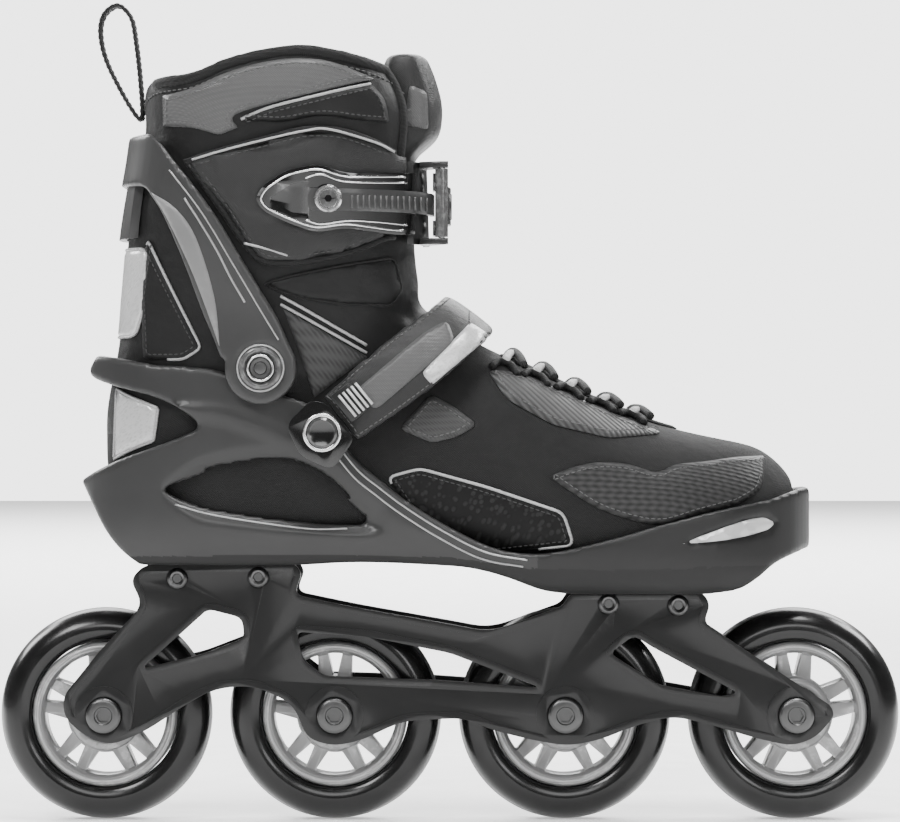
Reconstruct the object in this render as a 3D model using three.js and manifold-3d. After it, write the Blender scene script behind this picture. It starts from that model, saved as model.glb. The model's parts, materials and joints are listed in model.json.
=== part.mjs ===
// A right-foot inline skate: four wheels in a plate frame, a moulded lower shell, a padded boot,
// a rigid cuff that leans on ankle pivots, a ratchet buckle and a 45 degree instep strap.
// Millimetres, +Z up, +X to the toe, -Y the outer side. The origin is on the ground, half way along
// the wheelbase, on the wheels' centre plane.
import * as THREE from "three";
import { mergeVertices } from "three/addons/utils/BufferGeometryUtils.js";
import Module from "manifold-3d";

const wasm = await Module();
wasm.setup();

// Driving dimensions
const GAP = 0.3; // between pieces that touch
const WHEEL_R = 42;
const WHEEL_WIDTH = 24;
const WHEEL_GAP = 7; // between neighbouring tyres
const RIM_R = 28.6; // where the tyre meets the hub
const RIM_WALL = 4;
const HUB_WIDTH = 20;
const SPOKE_WIDTH = 3.2;
const BEARING_R = 11;
const BEARING_WIDTH = 7;
const SPACER_LENGTH = 10.2;
const AXLE_R = 4;
const AXLE_HEAD_R = 6.9;
const AXLE_HEAD_HEIGHT = 2.6;
const RUNNING_GAP = 0.3; // radial, axle in bearing
const PLATE_INNER_Y = 14.5; // half the width between the frame's plates
const PLATE_THICKNESS = 3;
const RIVET_R = 2.6;
const RIVET_HEAD_R = 4.2;
const SOLE_CLEARANCE = 6.6; // from the wheels' tops to the front of the sole
const HEEL_RISE = 11.1; // of the rear mount above the front one
const SHELL_WALL = 3.4;
const LINER_WALL = 6.5;
const INSOLE_THICKNESS = 4;
const ANKLE_HALF_WIDTH = 35.5;
const BALL_HALF_WIDTH = 45.5;
const COLLAR_HALF_WIDTH = 44;
const CUFF_WALL = 4;
const PIVOT_X = -73.5;
const PIVOT_Z = 88; // above the front of the sole
const PIVOT_LOBE_R = 14;
const PIVOT_BOLT_R = 5.4;
const FLEX_FORWARD = 11; // degrees
const FLEX_BACK = 4;
const FLAP_THICKNESS = 3;
const LADDER_WIDTH = 8.5;
const LADDER_THICKNESS = 2.4;
const STRAP_THICKNESS = 4;
const LOOP_WIDTH = 10;
const LOOP_THICKNESS = 1.2;
const LACE_R = 2;
const TONGUE_HALF_WIDTH = 22;

// What follows from them
const PITCH = 2 * WHEEL_R + WHEEL_GAP;
const AXLE_X = [-1.5, -0.5, 0.5, 1.5].map((step) => step * PITCH);
const AXLE_Z = WHEEL_R;
const SOLE_Z = 2 * WHEEL_R + SOLE_CLEARANCE;
const PLATE_OUTER_Y = PLATE_INNER_Y + PLATE_THICKNESS;
const FAR = 400; // longer than anything that is cut

// ---- Materials ----

const paint = (color, roughness, metalness = 0) => new THREE.MeshStandardMaterial({ color, roughness, metalness });
const MATERIALS = {
  tyre: paint(0x202022, 0.35),
  hub: paint(0x3a3a3e, 0.4),
  steel: paint(0xa8a8ac, 0.3, 1),
  frame: paint(0x1b1b1d, 0.45),
  shell: paint(0x4a4a4d, 0.5),
  cuff: paint(0x505054, 0.45),
  gloss: paint(0x252528, 0.15),
  reflector: paint(0xc9c9cc, 0.35),
  fabric: paint(0x18181a, 0.9),
  padding: paint(0x3c3c40, 0.8),
  webbing: paint(0x0e0e10, 0.85),
  lace: paint(0xc4c4c6, 0.85),
};

// ---- Geometry helpers ----

const finishPositions = (geometry) => {
  geometry.deleteAttribute("normal");
  geometry.deleteAttribute("uv");
  return mergeVertices(geometry, 1e-4);
};

const toSolid = (geometry) => {
  const merged = finishPositions(geometry.clone());
  const mesh = new wasm.Mesh({
    numProp: 3,
    vertProperties: new Float32Array(merged.attributes.position.array),
    triVerts: new Uint32Array(merged.index.array),
  });
  return new wasm.Manifold(mesh);
};

const toGeometry = (solid) => {
  const mesh = solid.getMesh();
  return new THREE.BufferGeometry()
    .setAttribute("position", new THREE.BufferAttribute(mesh.vertProperties, 3))
    .setIndex(new THREE.BufferAttribute(mesh.triVerts, 1));
};

const subtractAll = (solid, cutters) => cutters.reduce((rest, cutter) => rest.subtract(cutter), solid);

// The largest body of a solid, for cuts that leave slivers.
const largestBody = (solid) => solid.decompose().reduce((best, body) => (body.volume() > best.volume() ? body : best));

const vectors = (points) => points.map(([x, y]) => new THREE.Vector2(x, y));

// A closed outline through the points, each corner rounded by up to the radius.
const roundedShape = (points, radius = 0) => {
  const corners = vectors(points);
  const shape = new THREE.Shape();
  corners.forEach((corner, i) => {
    const before = corners.at(i - 1);
    const after = corners[(i + 1) % corners.length];
    const reach = Math.min(radius, 0.45 * corner.distanceTo(before), 0.45 * corner.distanceTo(after));
    const enter = before.clone().sub(corner).setLength(reach).add(corner);
    const leave = after.clone().sub(corner).setLength(reach).add(corner);
    if (i === 0) shape.moveTo(enter.x, enter.y);
    else shape.lineTo(enter.x, enter.y);
    if (radius > 0) shape.quadraticCurveTo(corner.x, corner.y, leave.x, leave.y);
  });
  shape.closePath();
  return shape;
};

const circle = (x, z, radius) => new THREE.Shape().absarc(x, z, radius, 0, 2 * Math.PI);

// A shape drawn in X and Z, extruded along Y from the lower to the upper value.
const alongY = (shape, lowY, highY, curveSegments = 3) => {
  const geometry = new THREE.ExtrudeGeometry(shape, { depth: highY - lowY, bevelEnabled: false, curveSegments });
  return geometry.rotateX(Math.PI / 2).translate(0, highY, 0);
};

// A shape drawn in X and Y, extruded up Z.
const alongZ = (shape, lowZ, highZ, curveSegments = 3) =>
  new THREE.ExtrudeGeometry(shape, { depth: highZ - lowZ, bevelEnabled: false, curveSegments }).translate(0, 0, lowZ);

// Turns an [r, y] profile round the Y axis.
const turned = (profile, segments) => new THREE.LatheGeometry(vectors(profile), segments);

const cylinderY = (x, z, radius, lowY, highY, segments = 16) =>
  new THREE.CylinderGeometry(radius, radius, highY - lowY, segments).translate(x, (lowY + highY) / 2, z);

// A closed skin over rings of points, each ring with the same number.
const loft = (rings) => {
  const count = rings[0].length;
  const positions = rings.flat();
  const index = [];
  for (let ring = 0; ring + 1 < rings.length; ring++)
    for (let i = 0; i < count; i++) {
      const a = ring * count + i;
      const b = ring * count + ((i + 1) % count);
      index.push(a, b, b + count, a, b + count, a + count);
    }
  for (const end of [0, rings.length - 1]) {
    const middle = [0, 1, 2].map((axis) => rings[end].reduce((sum, p) => sum + p[axis], 0) / count);
    const hub = positions.push(middle) - 1;
    for (let i = 0; i < count; i++) {
      const a = end * count + i;
      const b = end * count + ((i + 1) % count);
      index.push(...(end === 0 ? [b, a, hub] : [a, b, hub]));
    }
  }
  return new THREE.BufferGeometry()
    .setAttribute("position", new THREE.Float32BufferAttribute(positions.flat(), 3))
    .setIndex(index);
};

// Straight-line interpolation in a table whose rows start with the position.
const rowAt = (table, position) => {
  const last = table.length - 2;
  const at = Math.min(last, Math.max(0, table.findIndex((row) => row[0] > position) - 1));
  const from = table[position > table.at(-1)[0] ? last : at];
  const to = table[(position > table.at(-1)[0] ? last : at) + 1];
  const share = (position - from[0]) / (to[0] - from[0]);
  return from.map((value, i) => value + share * (to[i] - value));
};

const superellipse = (angle, power) => {
  const bend = (value) => Math.sign(value) * Math.abs(value) ** (2 / power);
  return [bend(Math.cos(angle)), bend(Math.sin(angle))];
};

const turns = (count) => Array.from({ length: count }, (_, i) => (2 * Math.PI * i) / count);

const signedVolume = (geometry) => {
  const { array } = geometry.attributes.position;
  const corner = (i) => new THREE.Vector3().fromArray(array, 3 * geometry.index.array[i]);
  let volume = 0;
  for (let i = 0; i < geometry.index.count; i += 3) volume += corner(i).dot(corner(i + 1).cross(corner(i + 2))) / 6;
  return volume;
};

// The geometry welded, with its faces pointing out.
const outward = (geometry) => {
  const welded = finishPositions(geometry);
  if (signedVolume(welded) < 0) welded.index.array.reverse();
  return welded;
};

const meshOf = (name, geometry, material) => {
  const mesh = new THREE.Mesh(outward(geometry), material);
  mesh.name = name;
  mesh.geometry.computeVertexNormals();
  return mesh;
};

const pieceOf = (name, solid, material) => meshOf(name, toGeometry(solid), material);

const solidOf = (geometry) => toSolid(outward(geometry));

const skate = new THREE.Group();

// ---- Wheels ----

const TYRE_SEGMENTS = 28;
// The flat under each tyre is what the skate stands on, so a facet's middle is at the tyre's radius.
const facetCorner = (radius) => radius / Math.cos(Math.PI / TYRE_SEGMENTS);

const tyreProfile = () => {
  const crown = facetCorner(WHEEL_R);
  const half = WHEEL_WIDTH / 2;
  const outer = [
    [RIM_R + GAP, 0.8 * half],
    [WHEEL_R - 8.5, half],
    [WHEEL_R - 3, 0.68 * half],
    [crown, 0.24 * half],
  ];
  const mirrored = outer.map(([radius, y]) => [radius, -y]).reverse();
  return [...outer, ...mirrored, outer[0]];
};

const makeTyre = () => {
  const halfFacet = Math.PI / TYRE_SEGMENTS;
  return turned(tyreProfile(), TYRE_SEGMENTS).rotateY(halfFacet);
};

const BOSS_R = BEARING_R + 3;

const arcPoints = (radius, from, to, steps) =>
  Array.from({ length: steps + 1 }, (_, i) => {
    const angle = from + ((to - from) * i) / steps;
    return [radius * Math.cos(angle), radius * Math.sin(angle)];
  });

const makeHub = () => {
  const windowOuter = RIM_R - RIM_WALL;
  const windowInner = BOSS_R + 0.6;
  const pairs = 5;
  const pairAngle = (2 * Math.PI) / pairs;
  const slotHalf = 1.5 / windowOuter + 0.06;
  const spokeHalf = slotHalf + (2 * SPOKE_WIDTH) / (windowOuter + windowInner);
  const hub = roundedShape(arcPoints(RIM_R, 0, 2 * Math.PI, 20).slice(1));
  const addWindow = (from, to, steps) => {
    const rim = arcPoints(windowOuter, from, to, steps);
    const boss = arcPoints(windowInner, to, from, steps);
    hub.holes.push(roundedShape([...rim, ...boss]));
  };
  for (let pair = 0; pair < pairs; pair++) {
    const middle = Math.PI / 2 + pair * pairAngle;
    addWindow(middle - slotHalf, middle + slotHalf, 1);
    addWindow(middle + spokeHalf, middle + pairAngle - spokeHalf, 2);
  }
  const half = HUB_WIDTH / 2;
  const shoulder = SPACER_LENGTH / 2 - GAP;
  const disc = solidOf(alongY(hub, -half, half));
  const pocket = (low, high) => solidOf(cylinderY(0, 0, BEARING_R + GAP, low, high, 16));
  const bore = solidOf(cylinderY(0, 0, BEARING_R - 2, -half - 1, half + 1, 12));
  return toGeometry(subtractAll(disc, [pocket(shoulder, half + 1), pocket(-half - 1, -shoulder), bore]));
};

const ringGeometry = (inner, outer, lowY, highY, segments) => {
  const profile = [
    [inner, lowY],
    [outer, lowY],
    [outer, highY],
    [inner, highY],
    [inner, lowY],
  ];
  return turned(profile, segments);
};

const makeBearing = (side) => {
  const near = SPACER_LENGTH / 2 + 0.05;
  const [low, high] = side < 0 ? [-near - BEARING_WIDTH, -near] : [near, near + BEARING_WIDTH];
  return ringGeometry(AXLE_R + RUNNING_GAP, BEARING_R, low, high, 12);
};

const makeSpacer = () => {
  const half = SPACER_LENGTH / 2 - 0.25;
  return ringGeometry(AXLE_R + RUNNING_GAP, AXLE_R + 2.4, -half, half, 12);
};

const makeWheel = (number, x) => {
  const wheel = new THREE.Group();
  wheel.add(
    meshOf(`tyre_${number}`, makeTyre(), MATERIALS.tyre),
    meshOf(`hub_${number}`, makeHub(), MATERIALS.hub),
    meshOf(`bearing_outer_${number}`, makeBearing(-1), MATERIALS.steel),
    meshOf(`bearing_inner_${number}`, makeBearing(1), MATERIALS.steel),
    meshOf(`bearing_spacer_${number}`, makeSpacer(), MATERIALS.steel),
  );
  wheel.position.set(x, 0, AXLE_Z);
  return wheel;
};

// One axle: a head with a hex socket outside the outer plate, and a shank that ends in the inner plate.
const makeAxle = () => {
  const outside = -PLATE_OUTER_Y - GAP;
  const socketDepth = 0.8 * AXLE_HEAD_HEIGHT;
  const segments = 12;
  const head = solidOf(cylinderY(0, 0, AXLE_HEAD_R, outside - AXLE_HEAD_HEIGHT, outside, 12));
  const shank = solidOf(cylinderY(0, 0, AXLE_R, outside - 0.1, PLATE_OUTER_Y + 0.5, segments));
  const socket = solidOf(
    cylinderY(0, 0, 3, outside - AXLE_HEAD_HEIGHT - 1, outside - AXLE_HEAD_HEIGHT + socketDepth, 6),
  );
  return toGeometry(head.add(shank).subtract(socket));
};

AXLE_X.forEach((x, i) => {
  skate.add(makeWheel(i + 1, x));
  const axle = meshOf(`axle_${i + 1}`, makeAxle(), MATERIALS.steel);
  axle.position.set(x, 0, AXLE_Z);
  skate.add(axle);
});

// ---- Frame ----

const [axleA, axleB, axleC, axleD] = AXLE_X;
const REAR_MOUNT = { back: -120.5, front: -60.5, top: SOLE_Z + HEEL_RISE - GAP };
const FRONT_MOUNT = { back: 47.5, front: 101, top: SOLE_Z - GAP };
const RIVETS = [
  [-107.5, SOLE_Z + 5.4],
  [-75.5, SOLE_Z + 5.9],
  [62.5, SOLE_Z - 4.6],
  [90, SOLE_Z - 5.2],
];

// Measured up from the axles' line, as everything between the wheels is.
const byAxle = (axle, points) => points.map(([x, z]) => [axle + x, AXLE_Z + z]);

const plateOutline = () => [
  [REAR_MOUNT.back, REAR_MOUNT.top],
  [REAR_MOUNT.back - 5.5, SOLE_Z + 5],
  [REAR_MOUNT.back, SOLE_Z - 5],
  ...byAxle(axleA, [
    [-2, 25],
    [-16, 7.5],
    [-15.5, -0.5],
    [-9, -7],
    [2, -12],
    [29.5, 2.5],
    [43, 10.5],
  ]),
  ...byAxle(axleB, [
    [-32, 12],
    [-16, 4.5],
    [-11, -9],
    [-0.5, -12],
    [10, -10],
    [27, -2],
  ]),
  ...byAxle(axleC, [
    [-40, -1],
    [-29.5, -5.5],
    [1, -12],
    [26, -4.5],
    [42, 0],
  ]),
  ...byAxle(axleD, [
    [-30.5, -4.5],
    [-1.5, -12],
    [8, -8.5],
    [15, 0],
    [13.5, 4],
    [-15, 22.5],
  ]),
  [FRONT_MOUNT.front - 1, SOLE_Z - 12],
  [FRONT_MOUNT.front + 1.5, SOLE_Z - 5],
  [FRONT_MOUNT.front - 1, FRONT_MOUNT.top],
  [FRONT_MOUNT.back, FRONT_MOUNT.top],
  [FRONT_MOUNT.back - 3, SOLE_Z - 5.5],
  [16, SOLE_Z - 15.6],
  [0, SOLE_Z - 12.6],
  [-37, SOLE_Z - 6.1],
  [REAR_MOUNT.front - 1, SOLE_Z - 1],
  [REAR_MOUNT.front + 2, SOLE_Z + 7],
  [REAR_MOUNT.front, REAR_MOUNT.top],
];

const rearWindow = () => [
  [axleA + 41, SOLE_Z - 6.6],
  [axleA + 15, AXLE_Z + 18.5],
  [axleA + 38.5, AXLE_Z + 24],
  [axleA + 55.5, AXLE_Z + 30.5],
  [axleA + 54.5, AXLE_Z + 38.5],
];

const middleWindow = () => [
  [axleB - 15, SOLE_Z - 15.6],
  [axleB + 13, SOLE_Z - 17.6],
  [0, SOLE_Z - 24],
  [axleC - 10, AXLE_Z + 11],
  [-5.5, AXLE_Z + 14],
  [axleB - 4, AXLE_Z + 15.5],
  [axleB - 12.5, AXLE_Z + 22],
];

const frontWindow = () => [
  [axleC + 17.5, SOLE_Z - 24],
  [axleC + 27, SOLE_Z - 17],
  [axleC + 34, SOLE_Z - 21.5],
  [axleD - 23, AXLE_Z + 9],
  [axleD - 29, AXLE_Z + 7.5],
  [axleD - 54, AXLE_Z + 12],
];

const holesInPlates = (radius) =>
  RIVETS.map(([x, z]) => solidOf(cylinderY(x, z, radius, -FAR, FAR, 10)));

const makePlate = (side) => {
  const [low, high] = side < 0 ? [-PLATE_OUTER_Y, -PLATE_INNER_Y] : [PLATE_INNER_Y, PLATE_OUTER_Y];
  const shape = roundedShape(plateOutline());
  for (const outline of [rearWindow(), middleWindow(), frontWindow()])
    shape.holes.push(roundedShape(outline));
  const bossReach = WHEEL_WIDTH / 2 + 0.6;
  const bossAt = (x) =>
    side < 0
      ? solidOf(cylinderY(x, AXLE_Z, AXLE_HEAD_R - 0.6, low + 1, -bossReach, 10))
      : solidOf(cylinderY(x, AXLE_Z, AXLE_HEAD_R - 0.6, bossReach, high - 1, 10));
  const bossed = AXLE_X.reduce((plate, x) => plate.add(bossAt(x)), solidOf(alongY(shape, low, high, 1)));
  const axleHoles = AXLE_X.map((x) => solidOf(cylinderY(x, AXLE_Z, AXLE_R + GAP, -FAR, FAR, 10)));
  return subtractAll(bossed, [...axleHoles, ...holesInPlates(RIVET_R + GAP)]);
};

skate.add(
  pieceOf("frame_plate_outer", makePlate(-1), MATERIALS.frame),
  pieceOf("frame_plate_inner", makePlate(1), MATERIALS.frame),
);

// The blocks keep clear of the wheels below them.
const wheelRooms = () => AXLE_X.map((x) => solidOf(cylinderY(x, AXLE_Z, WHEEL_R + 1.4, -FAR, FAR, 48)));
const FRAME_BOLT_R = 3;
const FRAME_BOLT_HEAD_R = 6.5;
const FRAME_BOLT_HEAD_HEIGHT = 3;
const FRAME_BOLT_X = { rear: -91.5, front: 76 };

const frameBoltRoom = (x, extra) =>
  new THREE.CylinderGeometry(FRAME_BOLT_R + extra, FRAME_BOLT_R + extra, FAR, 12).rotateX(Math.PI / 2).translate(x, 0, SOLE_Z);

const makeBlock = ({ back, front, top }, depth, boltX) => {
  const half = PLATE_INNER_Y - GAP;
  const outline = [
    [back + 1, top],
    [back + 3, top - depth],
    [front - 3, top - depth],
    [front - 1, top],
  ];
  const block = solidOf(alongY(roundedShape(outline), -half, half));
  const cutters = [...wheelRooms(), ...holesInPlates(RIVET_R + GAP), solidOf(frameBoltRoom(boltX, GAP))];
  return largestBody(subtractAll(block, cutters));
};

skate.add(
  pieceOf("rear_mount_block", makeBlock(REAR_MOUNT, 13, FRAME_BOLT_X.rear), MATERIALS.frame),
  pieceOf("front_mount_block", makeBlock(FRONT_MOUNT, 9.5, FRAME_BOLT_X.front), MATERIALS.frame),
);

// A rivet through both plates, with a round head on each.
const makeRivet = () => {
  const seat = PLATE_OUTER_Y + GAP;
  const profile = [
    [0, -seat - 1.6],
    [0.6 * RIVET_HEAD_R, -seat - 1.6],
    [RIVET_HEAD_R, -seat],
    [RIVET_R, -seat],
    [RIVET_R, seat],
    [RIVET_HEAD_R, seat],
    [0.6 * RIVET_HEAD_R, seat + 1.6],
    [0, seat + 1.6],
  ];
  return turned(profile, 10);
};

RIVETS.forEach(([x, z], i) => {
  const rivet = meshOf(`frame_rivet_${i + 1}`, makeRivet(), MATERIALS.steel);
  rivet.position.set(x, 0, z);
  skate.add(rivet);
});

// ---- Boot forms ----
// Everything above the frame is drawn with its heights measured up from the front of the sole.

const boot = new THREE.Group();
boot.position.z = SOLE_Z;
skate.add(boot);

// Height, back, front and half width of the padded leg.
const LEG = [
  [40, -134, -30, ANKLE_HALF_WIDTH - 1.5],
  [52, -137, -22, ANKLE_HALF_WIDTH - 1],
  [78, -135, -16, ANKLE_HALF_WIDTH - 0.3],
  [PIVOT_Z, -133.5, -14, ANKLE_HALF_WIDTH],
  [101, -131.5, -12, ANKLE_HALF_WIDTH + 0.5],
  [118, -130, -12, ANKLE_HALF_WIDTH + 2.5],
  [140, -128, -14, COLLAR_HALF_WIDTH - 3.5],
  [171, -123, -15, COLLAR_HALF_WIDTH - 1],
  [184, -121, -17, COLLAR_HALF_WIDTH - 0.3],
  [199, -119.5, -22, COLLAR_HALF_WIDTH],
  [218, -118, -26, COLLAR_HALF_WIDTH],
];

// Distance along the boot, half width, bottom and top of the padded foot.
const FOOT = [
  [-124, 8, 36, 80],
  [-120, 20, 26, 88],
  [-110, 30, 18, 94],
  [-90, ANKLE_HALF_WIDTH, 16, 98],
  [-60, ANKLE_HALF_WIDTH, 16, 104],
  [-34, ANKLE_HALF_WIDTH, 17, 110],
  [0, ANKLE_HALF_WIDTH + 2.5, 15.5, 103],
  [25, BALL_HALF_WIDTH - 3.5, 11, 91],
  [50, BALL_HALF_WIDTH, 6, 80.5],
  [80, BALL_HALF_WIDTH - 0.5, 5, 67],
  [105, BALL_HALF_WIDTH - 5.5, 6.5, 61],
  [122, BALL_HALF_WIDTH - 13.5, 12, 57],
  [132, BALL_HALF_WIDTH - 24.5, 19, 50],
  [136.5, BALL_HALF_WIDTH - 35.5, 25, 44],
];

// The same for the moulded shell round it, before it is cut to its outline.
const SHELL = [
  [-146, 9, 6, 102],
  [-140, 20, 6, 102],
  [-130, ANKLE_HALF_WIDTH - 7, 6, 102],
  [-115, ANKLE_HALF_WIDTH - 0.5, 6, 102],
  [-95, ANKLE_HALF_WIDTH + SHELL_WALL + 0.4, 6, 106],
  [-50, ANKLE_HALF_WIDTH + SHELL_WALL + 0.4, 6, 108],
  [-20, ANKLE_HALF_WIDTH + SHELL_WALL + 1.2, 6, 106],
  [10, BALL_HALF_WIDTH + SHELL_WALL - 6, 2, 100],
  [40, BALL_HALF_WIDTH + SHELL_WALL - 1, -3, 92],
  [70, BALL_HALF_WIDTH + SHELL_WALL + 0.4, -3, 80],
  [100, BALL_HALF_WIDTH + SHELL_WALL - 3, -3, 70],
  [120, BALL_HALF_WIDTH + SHELL_WALL - 11, -3, 64],
  [134, BALL_HALF_WIDTH + SHELL_WALL - 23, -1, 58],
  [140, BALL_HALF_WIDTH + SHELL_WALL - 34, 4, 54],
  [142.5, BALL_HALF_WIDTH + SHELL_WALL - 42, 12, 46],
];

const LEG_POWER = 2.6;
const LEG_SEGMENTS = 20;
const FOOT_SEGMENTS = 14;

const legLoft = (extra) =>
  loft(
    LEG.map(([z, back, front, half]) => {
      const middle = (back + front) / 2;
      const reach = (front - back) / 2 + extra;
      return turns(LEG_SEGMENTS).map((angle) => {
        const [u, v] = superellipse(angle, LEG_POWER);
        return [middle + reach * u, (half + extra) * v, z];
      });
    }),
  );

// A section is flatter below its widest height than above it.
const crossRing = ([x, half, bottom, top], extra, lowerPower, upperPower) => {
  const widest = bottom + 0.38 * (top - bottom);
  return turns(FOOT_SEGMENTS).map((angle) => {
    const upper = angle < Math.PI;
    const [u, v] = superellipse(angle, upper ? upperPower : lowerPower);
    const height = upper ? top + extra - widest : widest - bottom + extra;
    return [x, (half + extra) * u, widest + height * v];
  });
};

const crossLoft = (table, extra, lowerPower, upperPower) => {
  const last = table.length - 1;
  const moved = table.map(([x, ...rest], i) => [i === 0 ? x - extra : i === last ? x + extra : x, ...rest]);
  return loft(moved.map((row) => crossRing(row, extra, lowerPower, upperPower)));
};

const FOOT_POWERS = [3.6, 2.3];
const footSolid = (extra) => solidOf(crossLoft(FOOT, extra, ...FOOT_POWERS));
const shellSolid = (extra) => solidOf(crossLoft(SHELL, extra, 4, 6));
const legSolid = (extra) => solidOf(legLoft(extra));
const prism = (points, radius = 0, low = -FAR, high = FAR) => solidOf(alongY(roundedShape(points, radius), low, high, 1));
const slab = (lowZ, highZ) =>
  prism([
    [-FAR, lowZ],
    [FAR, lowZ],
    [FAR, highZ],
    [-FAR, highZ],
  ]);

const pivotCylinder = (radius, low, high, segments = 16) =>
  solidOf(cylinderY(PIVOT_X, PIVOT_Z, radius, low, high, segments));

const alongRay = (degrees, distance, lift = 0) => {
  const angle = THREE.MathUtils.degToRad(degrees);
  return [PIVOT_X + distance * Math.cos(angle), PIVOT_Z + lift + distance * Math.sin(angle)];
};

// The rigid foot of the boot ends on two planes through the pivots' line, and the leg ends on two
// others, so that the leg can lean without meeting it.
const REST_RAY = 4;
const FLEX_ROOM = 76;
const FLEX_SPARE = 2; // degrees more than the lean needs
const roomForLeg = () =>
  prism([
    [PIVOT_X, PIVOT_Z],
    alongRay(REST_RAY, FLEX_ROOM),
    [PIVOT_X + FLEX_ROOM, FAR],
    [-FAR, FAR],
    [-FAR, PIVOT_Z],
  ]);

const legSide = () =>
  prism([
    [PIVOT_X, PIVOT_Z + 2 * GAP],
    alongRay(REST_RAY + FLEX_FORWARD + FLEX_SPARE, FAR, 2 * GAP),
    [0, FAR],
    alongRay(180 - FLEX_BACK - FLEX_SPARE, FAR, 2 * GAP),
  ]);

// ---- Lower shell ----

const shellOutline = () => [
  [-137, 94],
  [-114, 89.5],
  [-91, 88],
  [-54, 73.5],
  [-36, 52],
  [-17.5, 37],
  [-2.5, 27.5],
  [16, 18.5],
  [42.5, 17],
  [63, 22],
  [80.5, 27],
  [100.5, 32],
  [125, 37],
  [150, 42],
  [150, 12],
  [128, 12.5],
  [119.5, 6],
  [100.5, 0],
  [FRONT_MOUNT.back, 0],
  [22.5, 6.5],
  [-2.5, HEEL_RISE],
  [-34.5, HEEL_RISE + 1.4],
  [REAR_MOUNT.front, HEEL_RISE],
  [REAR_MOUNT.back - 1, HEEL_RISE],
  [-135.5, 25],
  [-145, 44],
  [-133.5, 51.5],
  [-114, 58],
  [-98, 65.5],
  [-116, 77],
  [-132.5, 81.5],
  [-141, 87],
];

const shellWindow = () => [
  [-112.5, 41.5],
  [-93, 47.5],
  [-64.5, 51],
  [-46, 42],
  [-30, 27.5],
  [-64.5, 29],
  [-95.5, 34],
];

const insertOutline = () => [
  [88, 19.5],
  [107.5, 27],
  [123, 31],
  [129, 28],
  [125.5, 24.5],
  [107.5, 20.5],
];

const INSERT_DEPTH = 1.8;
const PIVOT_TAB_R = PIVOT_LOBE_R - 2;
const LEG_CLEARANCE = 0.9;
const insertSocket = () => prism(insertOutline(), 1.5);

const frameBolt = (x, seatZ) => {
  const shank = new THREE.CylinderGeometry(FRAME_BOLT_R, FRAME_BOLT_R, 14, 10).rotateX(Math.PI / 2);
  const head = new THREE.CylinderGeometry(FRAME_BOLT_HEAD_R, FRAME_BOLT_HEAD_R, FRAME_BOLT_HEAD_HEIGHT, 12).rotateX(Math.PI / 2);
  shank.translate(x, 0, seatZ - 7 + 0.1);
  head.translate(x, 0, seatZ + FRAME_BOLT_HEAD_HEIGHT / 2);
  return solidOf(shank).add(solidOf(head));
};

const frameBoltPocket = (x, seatZ) => {
  const shank = frameBoltRoom(x, GAP).translate(0, 0, -SOLE_Z);
  const radius = FRAME_BOLT_HEAD_R + GAP;
  const head = new THREE.CylinderGeometry(radius, radius, 20, 12).rotateX(Math.PI / 2).translate(x, 0, seatZ - GAP + 10);
  return solidOf(shank).intersect(slab(-20, seatZ + 5)).add(solidOf(head));
};

// Where the bolts' heads sit, sunk in the sole.
const FRAME_BOLT_SEATS = [
  [FRAME_BOLT_X.rear, HEEL_RISE + 1],
  [FRAME_BOLT_X.front, 0.9],
];

const makeLowerShell = () => {
  const outline = prism(shellOutline(), 3).add(pivotCylinder(PIVOT_TAB_R, -FAR, FAR, 20));
  const window = prism(shellWindow(), 6);
  const insertRoom = insertSocket().subtract(shellSolid(-INSERT_DEPTH - GAP));
  const cutters = [
    footSolid(GAP + 0.1),
    legSolid(LEG_CLEARANCE),
    window.subtract(slab(-FAR, HEEL_RISE + 4)),
    insertRoom,
    pivotCylinder(PIVOT_BOLT_R - 2, -FAR, FAR),
    ...FRAME_BOLT_SEATS.map(([x, z]) => frameBoltPocket(x, z)),
  ];
  return largestBody(subtractAll(shellSolid(0).intersect(outline), cutters));
};

// The pale inserts lie in the toe bumper, one on each side.
const makeInsert = (side) => {
  const middle = [108, 24.5];
  const share = 1 - (2 * GAP) / 8;
  const outline = insertOutline().map((point) => point.map((value, i) => middle[i] + share * (value - middle[i])));
  const [low, high] = side < 0 ? [-FAR, 0] : [0, FAR];
  return largestBody(prism(outline, 1.5, low, high).intersect(shellSolid(0.2)).subtract(shellSolid(-INSERT_DEPTH)));
};

boot.add(
  pieceOf("lower_shell", makeLowerShell(), MATERIALS.shell),
  pieceOf("toe_insert_outer", makeInsert(-1), MATERIALS.reflector),
  pieceOf("toe_insert_inner", makeInsert(1), MATERIALS.reflector),
  ...FRAME_BOLT_SEATS.map(([x, z], i) => pieceOf(`frame_bolt_${i + 1}`, frameBolt(x, z), MATERIALS.steel)),
);

// ---- Padded boot ----

const footRoom = () => footSolid(-LINER_WALL);
const legRoom = () => legSolid(-LINER_WALL);

const COLLAR_RIM = [
  [-130, 183.5],
  [-120.5, 196],
  [-116, 201.5],
  [-100, 203.5],
  [-87, 209],
  [-72.5, 212.5],
  [-58.5, 214],
  [-45.5, 212.5],
  [-28.5, 209],
  [-15, 201],
];

const belowCollarRim = () => prism([...COLLAR_RIM, [0, 190], [0, -FAR], [-FAR, -FAR], [-FAR, 183.5]], 0);

const makeSoftBoot = () => {
  const outer = footSolid(0).add(legSolid(0).intersect(slab(-FAR, PIVOT_Z + 40)));
  const boot = outer.subtract(roomForLeg()).subtract(footRoom()).subtract(legRoom());
  return largestBody(boot);
};

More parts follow.
